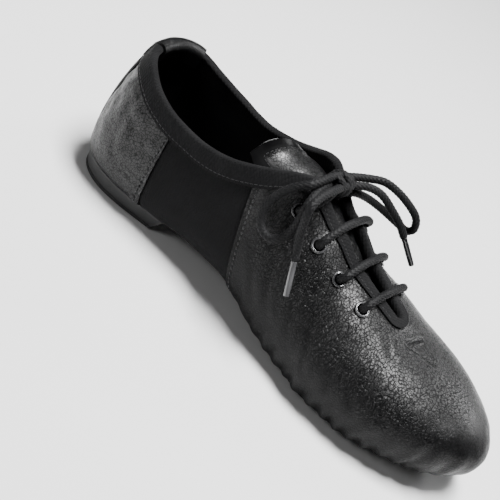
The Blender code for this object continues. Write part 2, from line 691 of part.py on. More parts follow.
def make_tongue(look):
    """The tongue, its free end bound in a thicker band."""
    length = TONGUE_FRONT - TONGUE_TOP
    band = TONGUE_BAND / length
    edge = BAND_EDGE / length
    along = [0, band, band + edge, *np.linspace(band + edge, 1, TONGUE_STEPS + 1)[1:]]
    across = np.linspace(-1, 1, TONGUE_STEPS + 1)
    s, t = np.meshgrid(along, across, indexing="ij")
    p = tongue_point(s, t)
    step = 1e-3
    n = np.cross(
        tongue_point(s + step, t) - tongue_point(s - step, t),
        tongue_point(s, t + step) - tongue_point(s, t - step),
    )
    n = n / np.linalg.norm(n, axis=-1, keepdims=True)
    raised = np.where(s <= band + 1e-9, BAND_STEP, 0)[..., None]
    return wall("tongue", [(p, p + n * raised, p - n * TONGUE_THICKNESS)], look)


def feather_edge(side, inset):
    """The feather line drawn in by inset, as x and y in plan from the back to the toe."""
    u = np.linspace(0, 3, 301)
    line = skin(u, side, -1)[:, :2]
    run = np.gradient(line, axis=0)
    run = run / np.linalg.norm(run, axis=1, keepdims=True)
    line = line + np.stack([run[:, 1], -run[:, 0]], 1) * side * inset
    keep = np.concatenate([[True], np.diff(line[:, 0]) > 0])
    return line[keep, 0], line[keep, 1]


def plate(name, stations, inset, low, high, look, round_back=0.0):
    """A plate of the last's outline, drawn in by inset, bent to the underside's curve."""
    lateral, medial = feather_edge(LATERAL, inset), feather_edge(MEDIAL, inset)
    across = np.stack([np.interp(stations, *lateral), np.interp(stations, *medial)], 1)
    if round_back:
        turn = np.clip((stations - stations[0]) / round_back, 0, 1)
        share = BACK_FLAT + (1 - BACK_FLAT) * np.sqrt(1 - (1 - turn) ** 2)
        across *= share[:, None]
    x = np.repeat(stations[:, None], 2, 1)
    foot = underside(x)
    front = np.stack([x, across, foot + low], -1)
    back = np.stack([x, across, foot + high], -1)
    return wall(name, [(front, front, back)], look)


def toe_stations(start, inset):
    """x values that crowd together towards the rounded toe."""
    tip = feather_edge(MEDIAL, inset)[0][-1]
    turn = LENGTH - TOE_CURVE
    rounded = turn + (tip - turn) * np.sin(np.linspace(0, math.pi / 2 - TIP_CUT, TOE_STEPS + 1))
    return np.concatenate([np.linspace(start, turn, SOLE_STEPS + 1)[:-1], rounded])


def make_sole(look):
    corner = SOLE_BACK + SOLE_CORNER * (1 - np.cos(np.linspace(0, math.pi / 2, 5)[:-1]))
    level = [SIDE["x"][LEVEL_FIRST] * LENGTH, SIDE["x"][LEVEL_FIRST + 1] * LENGTH]
    stations = np.concatenate([corner, toe_stations(SOLE_BACK + SOLE_CORNER, SOLE_INSET), level])
    return plate(
        "forefoot_sole", np.unique(stations), SOLE_INSET, -GAP - SOLE_THICKNESS, -GAP, look,
        SOLE_CORNER,
    )


def make_insole(look):
    back = feather_edge(MEDIAL, INSOLE_INSET)[0][0]
    rounded = back + (HEEL_CURVE - back) * (1 - np.cos(np.linspace(TIP_CUT, math.pi / 2, 7)[:-1]))
    stations = np.concatenate([rounded, toe_stations(HEEL_CURVE, INSOLE_INSET)])
    low = WALL + GAP
    return plate("insole", stations, INSOLE_INSET, low, low + INSOLE_THICKNESS, look)


def make_heel(look):
    """The heel block: the last's outline at the top, drawn in towards the floor."""
    ring = []
    turn = 1 - np.cos(np.linspace(0, 1, HEEL_SIDES) * math.pi / 2)
    for side in (LATERAL, MEDIAL):
        x, y = feather_edge(side, HEEL_INSET)
        at_x = x[0] + (HEEL_LENGTH - x[0]) * turn
        half = np.stack([at_x, np.interp(at_x, x, y)], 1)
        ring += list(half[::-1] if side == LATERAL else half[1:])
    ring = np.array(ring)
    back, front = ring[:, 0].min(), ring[:, 0].max()
    share = (ring[:, 0] - back) / (front - back)
    rings = []
    for height, inset, lean in (
        (HEEL_HEIGHT, 0, 0),
        (HEEL_EDGE, HEEL_TAPER, BREAST_LEAN),
        (0, HEEL_TAPER + HEEL_EDGE, BREAST_LEAN + HEEL_EDGE),
    ):
        x = ring[:, 0] + inset * (1 - share) - lean * share
        y = ring[:, 1] * (1 - inset / (HEEL_WIDTH / 2))
        rings.append(np.stack([x, y, np.full(len(x), height)], 1))
    return sweep("heel_block", rings, look)


def smooth_route(points, spacing):
    """Points at even spacing on a curve through a route's own points."""
    p = np.array([points[0], *points, points[-1]], float)
    fine = []
    for a, b, c, d in zip(p, p[1:], p[2:], p[3:]):
        t = np.linspace(0, 1, 24, endpoint=False)[:, None]
        fine.append(((2 * b) + (c - a) * t + (2 * a - 5 * b + 4 * c - d) * t**2
                     + (3 * b - a - 3 * c + d) * t**3) / 2)
    fine = np.vstack([*fine, p[-1:]])
    length = np.concatenate([[0], np.cumsum(np.linalg.norm(np.diff(fine, axis=0), axis=1))])
    even = np.linspace(0, length[-1], max(int(round(length[-1] / spacing)), 2) + 1)
    return np.stack([np.interp(even, length, fine[:, k]) for k in range(3)], 1)


def cord(name, points, diameter, look):
    """A round cord along points, with filled ends."""
    curve = bpy.data.curves.new(name, "CURVE")
    curve.dimensions = "3D"
    curve.bevel_depth = diameter / 2
    curve.bevel_resolution = 2
    curve.use_fill_caps = True
    spline = curve.splines.new("POLY")
    spline.points.add(len(points) - 1)
    for slot, p in zip(spline.points, points):
        slot.co = (*p, 1)
    curve.materials.append(look)
    o = bpy.data.objects.new(name, curve)
    bpy.context.scene.collection.objects.link(o)
    return o


def over_facing(x, y, lift):
    """A point of the lace above the facing, or above the throat at its edges' height."""
    side = LATERAL if y < 0 else MEDIAL
    edge = float(at(THROAT, "opening", x)) * THROAT_WIDTH
    place = max(abs(y), edge) * side
    n = roof_normal(x, place, side)
    high = Vector((x, y, float(roof(x, place, side))))
    return high + (n if abs(y) > edge else Vector((0, 0, 1))) * lift


def eyelet_run(side, i):
    """The lace's way out of an eyelet: from inside the ring to above its flange."""
    centre, normal = eyelet_place(side, i)
    inward = Vector((0, -side, 0))
    inward = (inward - normal * inward.dot(normal)).normalized()
    lift = FLANGE_SEAT + FLANGE_THICKNESS + GAP + LACE_DIAMETER / 2
    return [
        centre - normal * LACE_DIP,
        centre + normal * lift * LACE_BEND,
        centre + normal * (lift + LACE_RISE) + inward * LACE_DIAMETER * LACE_LEAN,
    ]


def make_bar(i, look):
    """The lace's visible run between a pair of eyelets, a step clear of facings and tongue."""
    near, far = eyelet_run(LATERAL, i), eyelet_run(MEDIAL, i)
    lift = BINDING_SEAT + BINDING_THICKNESS + BAR_PLAY + LACE_DIAMETER / 2
    a, b = near[-1], far[-1]
    middle = [over_facing(*(a.lerp(b, t))[:2], lift) for t in BAR_SHARES]
    route = near + middle + far[::-1]
    return cord(f"lace_bar_{i}", smooth_route(route, BAR_STEP), LACE_DIAMETER, look)


def bow_route(name):
    """A route of the bow, in metres."""
    return np.array(ROUTES[name]) / 1000 + (EYELET_FIRST, 0, 0)


def make_top_run(name, side, look):
    """The lace from a top eyelet over the facing to the knot."""
    route = [*eyelet_run(side, 0), *bow_route(name)]
    return cord(name, smooth_route(route, BAR_STEP), LACE_DIAMETER, look)


def make_knot(look):
    rings = []
    half = np.array(KNOT_SIZE) / 2
    angle = np.linspace(0, 2 * math.pi, KNOT_SIDES, endpoint=False)
    for along, wide, high in KNOT:
        ring = np.stack([np.cos(angle) * wide, np.full(KNOT_SIDES, along), np.sin(angle) * high], 1)
        rings.append(np.array(KNOT_CENTRE) + ring * half)
    return sweep("lace_knot", rings, look)


def make_tip(name, points, look):
    """The plastic tip of a free end, in line with the cord's last stretch."""
    end = Vector(points[-1])
    ahead = (end - Vector(points[-2])).normalized()
    start = end + ahead * AGLET_GAP
    return cord(name, [start, start + ahead * AGLET_LENGTH], AGLET_DIAMETER, look)


def make_bow(look, tip_look):
    make_knot(look)
    for name in ("lateral", "medial"):
        loop = smooth_route(bow_route(f"lace_loop_{name}"), LOOP_STEP)
        cord(f"lace_loop_{name}", loop, LACE_DIAMETER, look)
        end = smooth_route(bow_route(f"lace_end_{name}"), LOOP_STEP)
        cord(f"lace_end_{name}", end, LACE_DIAMETER, look)
        make_tip(f"aglet_{name}", end, tip_look)


def place_on_origin():
    """Move everything so that the origin is the bottom centre of the shoe's box, bow left out."""
    bow = ("lace_knot", "lace_loop", "lace_end", "aglet", "eyelet_holes")
    solid = [o for o in bpy.data.objects if o.type == "MESH" and not o.name.startswith(bow)]
    points = np.array([v.co for o in solid for v in o.data.vertices])
    low, high = points.min(axis=0), points.max(axis=0)
    shift = Vector((-(low[0] + high[0]) / 2, -(low[1] + high[1]) / 2, -low[2]))
    for o in bpy.data.objects:
        o.data.transform(Matrix.Translation(shift))


def main():
    clear_scene()
    leather = material("black leather", (0.012, 0.012, 0.013), 0.42)
    tape = material("black tape", (0.014, 0.014, 0.015), 0.85)
    rubber = material("black rubber", (0.016, 0.016, 0.017), 0.7)
    lining = material("black lining", (0.01, 0.01, 0.011), 0.9)
    metal = material("blackened metal", (0.05, 0.05, 0.052), 0.3, 1.0)
    braid = material("black braid", (0.013, 0.013, 0.014), 0.8)
    tip = material("clear lace tip", (0.10, 0.10, 0.11), 0.15)
    make_upper(leather)
    make_insole(lining)
    make_sole(rubber)
    make_heel(rubber)
    make_tongue(leather)
    make_collar_binding(tape)
    make_heel_tab(leather)
    make_back_strap(leather)
    for side, name in ((LATERAL, "lateral"), (MEDIAL, "medial")):
        for i in range(EYELETS):
            make_eyelet(f"eyelet_{name}_{i + 1}", side, i, metal)
    for i in range(1, EYELETS):
        make_bar(i, braid)
    make_top_run("lace_top_lateral", LATERAL, braid)
    make_top_run("lace_top_medial", MEDIAL, braid)
    make_bow(braid, tip)
    place_on_origin()


main()
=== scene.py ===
# %% [markdown]
# # A lace-up jazz shoe in black leather
# The real shoe is sewn from a few thin pieces over a wooden last: a gathered vamp, two stretch
# inserts under the arch, a counter round the heel, a folded tape round the collar and down both
# facings, a tongue, a split sole and a low heel block. The solids of the frame give every size.
# Here each of them gets its own sewn, creased and grained piece, laid on the same last.

# %% Load the frame
import math
from functools import lru_cache

import bpy
import numpy as np
from mathutils import Matrix, Vector, noise


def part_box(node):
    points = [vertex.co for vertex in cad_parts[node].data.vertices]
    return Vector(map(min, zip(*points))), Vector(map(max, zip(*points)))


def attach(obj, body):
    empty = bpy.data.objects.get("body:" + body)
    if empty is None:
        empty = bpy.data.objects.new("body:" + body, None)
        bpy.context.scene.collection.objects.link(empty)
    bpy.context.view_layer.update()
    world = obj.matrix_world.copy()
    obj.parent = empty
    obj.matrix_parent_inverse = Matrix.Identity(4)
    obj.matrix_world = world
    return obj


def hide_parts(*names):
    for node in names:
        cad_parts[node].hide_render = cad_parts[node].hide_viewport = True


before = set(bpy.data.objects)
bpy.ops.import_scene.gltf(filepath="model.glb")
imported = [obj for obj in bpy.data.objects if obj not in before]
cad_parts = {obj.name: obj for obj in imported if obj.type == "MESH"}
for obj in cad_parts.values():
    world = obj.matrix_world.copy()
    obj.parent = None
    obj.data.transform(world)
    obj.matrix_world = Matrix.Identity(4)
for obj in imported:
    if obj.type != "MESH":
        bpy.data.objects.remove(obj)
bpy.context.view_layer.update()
bpy.ops.object.select_all(action="DESELECT")
print("CAD nodes:", len(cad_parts))

# %% [markdown]
# ## The last
# Shoemakers cut every piece to one last. The same is done here: skin() gives a point on the
# last's outside from a section u (0 at the back, 1 where the heel's curve ends, 2 where the toe's
# begins, 3 at the toe tip), a side and a height v (-1 on the feather line, 0 on the widest line,
# 1 on the ridge). It is the function that the solids were made with, in the same sizes.

# %% Sizes of the last
LENGTH = 0.250
BALL_WIDTH = 0.084
HEEL_WIDTH = 0.0612
INSTEP_HEIGHT = 0.063
COLLAR_HEIGHT = 0.062
HEEL_CURVE = 0.038
TOE_CURVE = 0.0615
HEEL_ROUNDNESS = 2.5
TOE_ROUNDNESS = 1.9
TOE_RIDGE = 0.45
FEATHER_INSET = 0.008
ARCH_RISE = 0.002
TOE_SPRING = 0.0088
HEEL_HEIGHT = 0.0095
SOLE_THICKNESS = 0.0027
WALL = 0.0022
GAP = 0.0003
COUNTER_SEAM = 0.0472
VAMP_SEAM = 0.1018
THROAT_WIDTH = 0.020
THROAT_END = 0.178
CORNER = 0.107
CORNER_RUN = 0.004
LATERAL, MEDIAL = -1, 1


def table(names, rows):
    """A table with named columns, a row for each section."""
    return dict(zip(names.split(), np.array(rows, float).T))

# %% [markdown]
# ## The last's tables
# Each row is one station, its x as a share of the shoe's length. The other columns are shares of
# the named sizes, so a longer or wider shoe keeps its shape.

# %% Tables of the last
PLAN = table(
    "x heel lateral medial inset",
    (
        (0.000, 0.500, 0.000, 0.000, 0.36),
        (0.152, 0.500, 0.000, 0.000, 0.48),
        (0.280, 0.478, 0.000, 0.000, 0.93),
        (0.400, 0.489, 0.000, 0.000, 1.10),
        (0.520, 0.280, 0.207, 0.207, 1.00),
        (0.640, 0.000, 0.468, 0.485, 0.90),
        (0.740, 0.000, 0.480, 0.520, 0.94),
        (0.860, 0.000, 0.454, 0.519, 1.00),
        (1.000, 0.000, 0.420, 0.501, 1.02),
    ),
)
SIDE = table(
    "x seat arch spring widest collar instep roundness lean",
    (
        (0.000, 1.00, 0.0, 0.00, 0.250, 1.54, 0.000, 2.0, 0.00),
        (0.152, 1.00, 0.0, 0.00, 0.256, 1.54, 0.000, 2.0, 0.00),
        (0.245, 1.00, 0.0, 0.00, 0.262, 1.53, 0.000, 2.0, 0.31),
        (0.320, 1.00, 1.0, 0.00, 0.265, 1.45, 0.000, 2.0, 0.34),
        (0.400, 0.99, 1.0, 0.00, 0.264, 0.62, 0.666, 2.0, 0.38),
        (0.460, 0.78, 0.4, 0.00, 0.280, 0.25, 0.873, 2.0, 0.32),
        (0.520, 0.42, 0.0, 0.00, 0.294, 0.00, 1.000, 2.0, 0.22),
        (0.600, 0.00, 0.0, 0.00, 0.275, 0.00, 0.882, 2.0, 0.12),
        (0.740, 0.00, 0.0, 0.00, 0.250, 0.00, 0.703, 2.2, 0.00),
        (0.860, 0.00, 0.0, 0.36, 0.221, 0.00, 0.617, 2.3, 0.00),
        (1.000, 0.00, 0.0, 1.00, 0.183, 0.00, 0.577, 2.3, 0.00),
    ),
)
TAPE_WIDTHS = table(
    "x binding",
    ((0.000, 1.00), (0.330, 1.00), (0.380, 0.95), (0.428, 0.70), (0.472, 0.62)),
)
COLLAR_LINE = table(
    "x lateral medial",
    (
        (0.000, 0.0718, 0.0718),
        (0.056, 0.0700, 0.0705),
        (0.112, 0.0646, 0.0659),
        (0.160, 0.0615, 0.0639),
        (0.196, 0.0607, 0.0632),
        (0.224, 0.0605, 0.0625),
        (0.252, 0.0611, 0.0624),
        (0.272, 0.0622, 0.0629),
        (0.296, 0.0643, 0.0642),
        (0.320, 0.0669, 0.0662),
        (0.344, 0.0700, 0.0692),
        (0.372, 0.0740, 0.0733),
        (0.400, 0.0780, 0.0775),
        (0.428, 0.0800, 0.0799),
        (0.472, 0.0802, 0.0802),
    ),
)
THROAT = table(
    "x opening",
    ((0.400, 0.86), (0.428, 0.71), (0.472, 0.50), (0.580, 0.37), (0.660, 0.23), (0.712, 0.13)),
)
TONGUE = table(
    "x sink roundness width",
    (
        (0.320, 0.232, 2.0, 0.86),
        (0.384, 0.205, 2.4, 0.88),
        (0.428, 0.115, 2.5, 0.92),
        (0.472, 0.040, 2.3, 0.97),
        (0.540, 0.000, 2.1, 1.00),
        (0.640, 0.000, 2.1, 0.96),
        (0.760, 0.000, 2.2, 0.80),
    ),
)

# %% [markdown]
# ## Curves along the last
# A table's rows are joined by a curve that doesn't overshoot. From the tables come the last's half
# width, its underside, its widest line, its ridge and its top at any place along the shoe.

# %% Functions of the last
def at(columns, name, x):
    """A column's value at x, on a curve through the rows that keeps level stretches level."""
    xs = columns["x"] * LENGTH
    ys = columns[name]
    run = np.diff(xs)
    rise = np.diff(ys) / run
    slope = np.zeros(len(xs))
    slope[0], slope[-1] = rise[0], rise[-1]
    slope[1:-1] = (rise[:-1] * run[1:] + rise[1:] * run[:-1]) / (run[:-1] + run[1:])
    slope[1:-1][rise[:-1] * rise[1:] <= 0] = 0
    x = np.clip(x, xs[0], xs[-1])
    i = np.clip(np.searchsorted(xs, x) - 1, 0, len(run) - 1)
    t = (x - xs[i]) / run[i]
    near = (1 + 2 * t) * (1 - t) ** 2 * ys[i] + t * (1 - t) ** 2 * run[i] * slope[i]
    far = t * t * (3 - 2 * t) * ys[i + 1] - t * t * (1 - t) * run[i] * slope[i + 1]
    return near + far


def half_width(x, side):
    """Half of the last's width at its widest line."""
    x = np.maximum(x, HEEL_CURVE)
    ball = at(PLAN, "medial" if side > 0 else "lateral", x)
    return at(PLAN, "heel", x) * HEEL_WIDTH + ball * BALL_WIDTH


def underside(x):
    """Height of the last's underside."""
    heel = HEEL_HEIGHT - SOLE_THICKNESS
    bend = at(SIDE, "arch", x) * ARCH_RISE + at(SIDE, "spring", x) * TOE_SPRING
    return SOLE_THICKNESS + GAP + at(SIDE, "seat", x) * heel + bend


def widest(x):
    """Height of its widest line."""
    return underside(x) + at(SIDE, "widest", x) * INSTEP_HEIGHT


def ridge(x):
    """Height of its top line."""
    high = at(SIDE, "collar", x) * COLLAR_HEIGHT + at(SIDE, "instep", x) * INSTEP_HEIGHT
    return underside(x) + high


def toe_share(x):
    """How much of the width is left in the toe's curve."""
    u = np.clip((x - LENGTH + TOE_CURVE) / TOE_CURVE, 0, 1)
    return np.maximum(1 - u**TOE_ROUNDNESS, 0) ** (1 / TOE_ROUNDNESS)


def station(u):
    """x of a section at the widest line."""
    heel = HEEL_CURVE * (1 - np.cos(np.clip(u, 0, 1) * math.pi / 2) ** (2 / HEEL_ROUNDNESS))
    body = np.clip(u - 1, 0, 1) * (LENGTH - TOE_CURVE - HEEL_CURVE)
    toe = TOE_CURVE * np.sin(np.clip(u - 2, 0, 1) * math.pi / 2) ** (2 / TOE_ROUNDNESS)
    return heel + body + toe


def body_u(x):
    """The u of a section of the body that crosses the widest line at x."""
    return 1 + (x - HEEL_CURVE) / (LENGTH - TOE_CURVE - HEEL_CURVE)


def roof(x, y, side):
    """Height of the last's top at a place in plan."""
    power = at(SIDE, "roundness", x)
    half = np.maximum(half_width(x, side) * toe_share(x), 1e-6)
    top = widest(x) + (ridge(x) - widest(x)) * toe_share(x)
    arc = np.maximum(1 - np.minimum(np.abs(y) / half, 1) ** power, 0) ** (1 / power)
    return widest(x) + (top - widest(x)) * arc

# %% [markdown]
# ## The last's skin
# A section stands across the shoe, or fans out round the heel and the toe. Points on it are found
# from the height v, and skin() and outward() give places and directions for all sewn pieces.

# %% The skin
def section(u, side):
    """The middle of a section at the widest line, in plan, its half width and its x."""
    x = station(u)
    turn = np.clip(u - 2, 0, 1) * math.pi / 2
    heel = np.sin(np.clip(u, 0, 1) * math.pi / 2) ** (2 / HEEL_ROUNDNESS)
    toe = np.maximum(np.cos(turn), 0) ** (2 / TOE_ROUNDNESS)
    middle = np.where(u < 1, HEEL_CURVE, x)
    middle = np.where(u > 2, LENGTH - TOE_CURVE * (1 - TOE_RIDGE * np.sin(turn)), middle)
    return middle, half_width(x, side) * heel * toe, x


def skin(u, side, v):
    """Points on the last's outside."""
    u, v = np.broadcast_arrays(np.asarray(u, float), np.asarray(v, float))
    over, under = np.clip(v, 0, 1) * math.pi / 2, np.clip(1 + v, 0, 1) * math.pi / 2
    middle, half, x = section(u, side)
    power = 2 / at(SIDE, "roundness", x)
    high = np.sin(over) ** power * (ridge(x) - widest(x))
    low = -np.cos(under) * (widest(x) - underside(x))
    body = (u > 1) & (u < 2)
    shift = np.where(body, at(SIDE, "lean", x) * np.where(v < 0, low, high), 0)
    x, middle = x - shift, middle - shift
    half = np.where(body, half_width(x, side), half)
    run = np.maximum(np.hypot(x - middle, half), 1e-9)
    inset = np.minimum(at(PLAN, "inset", x) * FEATHER_INSET, 0.9 * run) / run
    power = 2 / at(SIDE, "roundness", x)
    reach = np.maximum(np.cos(over), 0) ** np.where(u > 2, 1, power)
    reach = np.where(v < 0, 1 - inset * (1 - np.sin(under)), reach)
    px, py = middle + (x - middle) * reach, half * reach
    foot = underside(middle + (x - middle) * (1 - inset))
    low = foot + (widest(x) - foot) * (1 - np.cos(under))
    high = widest(x) + (ridge(x) - widest(x)) * np.sin(over) ** power
    z = np.where(v < 0, low, np.where(u > 2, roof(px, py, side), high))
    return np.stack([px, side * py, z], -1)


def outward(u, side, v):
    """Unit normals of skin()."""
    step = 1e-3
    u, v = np.broadcast_arrays(np.asarray(u, float), np.asarray(v, float))
    v = np.clip(v, -1, 1 - step)
    along = skin(np.clip(u + step, 0, 3), side, v) - skin(np.clip(u - step, 0, 3), side, v)
    up = skin(u, side, np.clip(v + step, -1, 1)) - skin(u, side, np.clip(v - step, -1, 1))
    n = np.cross(along, up) * -side
    n[np.abs(skin(u, side, v)[..., 1]) < 1e-4, 1] *= 0
    return n / np.linalg.norm(n, axis=-1, keepdims=True)


def heel_u(distance):
    """The u of the section that lies this far round the heel from its middle."""
    u = np.linspace(0, 1, 201)
    steps = np.linalg.norm(np.diff(skin(u, MEDIAL, 0), axis=0), axis=-1)
    return float(np.interp(distance, np.concatenate([[0], np.cumsum(steps)]), u))

# %% [markdown]
# ## The top edge
# The collar's line and the throat's opening end the upper. Seams, tapes and stitch rows are set
# out from that edge, as on a paper pattern, so distances are measured down each section from it.

# %% The top edge
THROAT_ROUND = 0.0045  # length of the throat's rounded end


def edge_v(x, side):
    """The v of the upper's top edge: the collar's height, then the throat's half opening."""
    name = "medial" if side > 0 else "lateral"
    power = at(SIDE, "roundness", x) / 2
    height = (at(COLLAR_LINE, name, x) - widest(x)) / (ridge(x) - widest(x))
    collar = np.arcsin(np.clip(height, 0, 1) ** power)
    end = np.clip((x - THROAT_END + THROAT_ROUND) / THROAT_ROUND, 0, 1)
    opening = at(THROAT, "opening", x) * THROAT_WIDTH * np.sqrt(1 - end * end)
    throat = np.arccos((opening / half_width(x, side)) ** power)
    turn = np.clip((x - CORNER + CORNER_RUN) / (2 * CORNER_RUN), 0, 1)
    turn = turn * turn * (3 - 2 * turn)
    return np.where(x > THROAT_END, 1, (collar + (throat - collar) * turn) * 2 / math.pi)


@lru_cache(maxsize=None)
def rim_v(u, side):
    """The v at which a section meets the top edge."""
    v = np.linspace(0.05, 1, 400)
    over = v - edge_v(skin(u, side, v)[:, 0], side)
    i = int(np.argmax(over >= 0))
    if i == 0:
        return 1.0
    return float(v[i] - over[i] * (v[i] - v[i - 1]) / (over[i] - over[i - 1]))


@lru_cache(maxsize=None)
def down_section(u, side):
    """Distances down a section from its top edge, and the v at each."""
    v = np.linspace(rim_v(float(u), side), -1, 200)
    steps = np.linalg.norm(np.diff(skin(u, side, v), axis=0), axis=-1)
    return np.concatenate([[0], np.cumsum(steps)]), v


def below_rim(u, side, distance):
    """The v at this distance down a section from its top edge."""
    run, v = down_section(float(u), side)
    return np.interp(distance, run, v)


# The frame's origin is the middle of the shoe's box, so the last moves by the same step
KNOT = (0.1152, -0.0015, 0.0800)
knot_low, knot_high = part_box("lace_knot")
SHIFT = np.array((knot_low + knot_high) / 2) - np.array(KNOT)
print("Last moved by, mm:", np.round(SHIFT * 1000, 2))

# %% [markdown]
# ## The camera
# A photograph's viewpoint is found by matching sizes that are known: where the seams, eyelets
# and outline of the last lie in the picture gives one place and turn for the camera. The shoe was
# held at a slant, so the camera is rolled instead and the shoe stands flat on the floor.

# %% Camera
CAMERA_PLACE = (0.0621, -0.4058, 0.3006)
CAMERA_AZIMUTH, CAMERA_ELEVATION, CAMERA_ROLL = 11.94, 34.30, 37.23
CAMERA_LENS = 73.1

bpy.ops.object.camera_add(location=CAMERA_PLACE)
camera = bpy.context.object
camera.data.lens = CAMERA_LENS
camera.data.sensor_width = 36
camera.data.clip_start = 0.01
turn = Matrix.Rotation(math.radians(CAMERA_AZIMUTH), 4, "Z")
turn = turn @ Matrix.Rotation(math.radians(90 - CAMERA_ELEVATION), 4, "X")
turn = turn @ Matrix.Rotation(math.radians(CAMERA_ROLL), 4, "Z")
camera.matrix_world = Matrix.Translation(CAMERA_PLACE) @ turn
bpy.context.scene.camera = camera
print("Camera to shoe, mm:", round(Vector(CAMERA_PLACE).length * 1000))

# %% [markdown]
# ## Tools for sewn pieces
# Thin sewn pieces have no stock shape to start from, so each starts as a grid primitive with as
# many rows and columns as the piece needs, and the grid's vertices are laid on points of the last.
# The other tools pick, weld, copy and join such sheets and give a finished one its place.

# %% Shared sheet maker
def lay_sheet(name, points, wrap=False):
    """A grid primitive whose vertices are laid on points, rows by columns."""
    points = np.asarray(points, float)
    rows, columns = points.shape[:2]
    bpy.ops.mesh.primitive_grid_add(x_subdivisions=columns - 1, y_subdivisions=rows - 1, size=1)
    piece = bpy.context.object
    piece.name = piece.data.name = name
    piece.data.vertices.foreach_set("co", (points + SHIFT).reshape(-1).astype(np.float32))
    piece.data.update()
    bpy.ops.object.shade_smooth()
    if wrap:
        weld(piece)
    return piece


def pick(piece):
    """Select one piece alone and make it active."""
    bpy.ops.object.select_all(action="DESELECT")
    piece.select_set(True)
    bpy.context.view_layer.objects.active = piece


def weld(piece, distance=2e-6):
    """Merge what meets and turn all faces outwards."""
    pick(piece)
    bpy.ops.object.mode_set(mode="EDIT")
    bpy.ops.mesh.select_all(action="SELECT")
    bpy.ops.mesh.remove_doubles(threshold=distance)
    bpy.ops.mesh.normals_make_consistent(inside=False)
    bpy.ops.object.mode_set(mode="OBJECT")


def own_copy(model):
    """A copy of a model with its own mesh."""
    copy = model.copy()
    copy.data = model.data.copy()
    bpy.context.scene.collection.objects.link(copy)
    return copy


def join(name, pieces):
    """One object from several."""
    bpy.ops.object.select_all(action="DESELECT")
    for piece in pieces:
        piece.select_set(True)
    bpy.context.view_layer.objects.active = pieces[0]
    if len(pieces) > 1:
        bpy.ops.object.join()
    piece = bpy.context.object
    piece.name = piece.data.name = name
    return piece


def settle(piece, look, slot, *nodes):
    """Give a finished piece its look and the CAD nodes that it stands for; the slot is not used."""
    piece.data.materials.clear()
    piece.data.materials.append(look)
    bpy.ops.object.select_all(action="DESELECT")
    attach(piece, "root")
    if nodes:
        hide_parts(*nodes)
    return piece

# %% [markdown]
# ## The lace
# The lace is a round braided cord. A plain tube would look like wire, so each tube's skin is
# raised in the diamonds of a braid: two families of strands that cross. The four free parts of the
# bow are laid as cords along the paths that they follow, and their lengths are printed. Their
# routes are in metres from the last's own back end, and they are the routes of the solids.

# %% Cord maker
LACE = 0.0038  # diameter
BRAID_RISE = 0.00042  # of a strand over its neighbours
BRAID_PITCH = 0.0021  # along the cord, from strand to strand
BRAID_ROUND = 0.6  # how full a strand's back is
BRAID_PLUMP = 0.00018  # of the crowns over half of the cord's diameter
RING_STEP = 0.00035  # along the cord, from ring to ring
STRANDS = 7


def smooth_route(points, spacing):
    """Points at even spacing on a curve through a route's own points."""
    p = np.array([points[0], *points, points[-1]], float)
    fine = []
    for a, b, c, d in zip(p, p[1:], p[2:], p[3:]):
        t = np.linspace(0, 1, 24, endpoint=False)[:, None]
        fine.append(((2 * b) + (c - a) * t + (2 * a - 5 * b + 4 * c - d) * t**2
                     + (3 * b - a - 3 * c + d) * t**3) / 2)
    fine = np.vstack([*fine, p[-1:]])
    length = np.concatenate([[0], np.cumsum(np.linalg.norm(np.diff(fine, axis=0), axis=1))])
    even = np.linspace(0, length[-1], max(int(round(length[-1] / spacing)), 2) + 1)
    return np.stack([np.interp(even, length, fine[:, k]) for k in range(3)], 1)


def braid_tube(name, path, diameter=LACE, rise=BRAID_RISE, sides=42, closed=False):
    """A tube along a path, its skin raised in a braid's diamonds."""
    path = smooth_route(path, RING_STEP)
    if closed:
        path[-1] = path[0]
    run = np.gradient(path, axis=0)
    run /= np.linalg.norm(run, axis=1, keepdims=True)
    if closed:
        run[0] = run[-1] = (run[0] + run[-1]) / 2
    along = np.concatenate([[0], np.cumsum(np.linalg.norm(np.diff(path, axis=0), axis=1))])
    up = np.cross(run[0], (0.3, 1.0, 0.2))
    rings = []
    for i, (centre, way) in enumerate(zip(path, run)):
        up = up - way * np.dot(up, way)
        up /= np.linalg.norm(up)
        across = np.cross(way, up)
        angle = np.linspace(0, 2 * math.pi, sides + 1)
        turn = math.pi * along[i] / BRAID_PITCH
        strand = angle * STRANDS / 2
        weave = np.abs(np.cos(strand + turn) * np.cos(strand - turn)) ** BRAID_ROUND
        radius = diameter / 2 + BRAID_PLUMP - rise * (1 - weave)
        if not closed:
            radius = radius * min(1, 0.75 + 0.25 * min(i, len(path) - 1 - i) / 2)
        rings.append(centre + radius[:, None] * (
            np.cos(angle)[:, None] * up + np.sin(angle)[:, None] * across))
    if closed:
        rings[-1] = rings[0]
    else:
        rings = [np.repeat(path[:1], sides + 1, 0), *rings, np.repeat(path[-1:], sides + 1, 0)]
    return lay_sheet(name, np.array(rings), wrap=True)

# %% [markdown]
# ## Where the lace passes
# Eyelets sit in two rows beside the throat, square to the leather. The lace comes out of each ring,
# clears its flange and lies on the tape, so its way is worked out from those heights.

# %% Eyelets' places and the bars' way
EYELETS = 4
EYELET_FIRST = 0.1125
EYELET_PITCH = 0.0166
EYELET_ROW = 0.0210
EYELET_ROW_TAPER = 0.0008
MEDIAL_FORWARD = 0.0045
MEDIAL_INWARD = 0.0025
FLANGE_LIFT = 0.0012  # top of the flange above the leather
TAPE_LIFT = 0.0012  # top of the tape above the leather
BAR_PLAY = 0.00065  # between the tape and a bar
RUN_DEPTH = 0.0006  # of the lace's hidden end below the leather's face
RUN_PLAY = 0.0002  # between the flange and the lace
WAY_STEP = 0.0026  # between the points that a braid is laid through


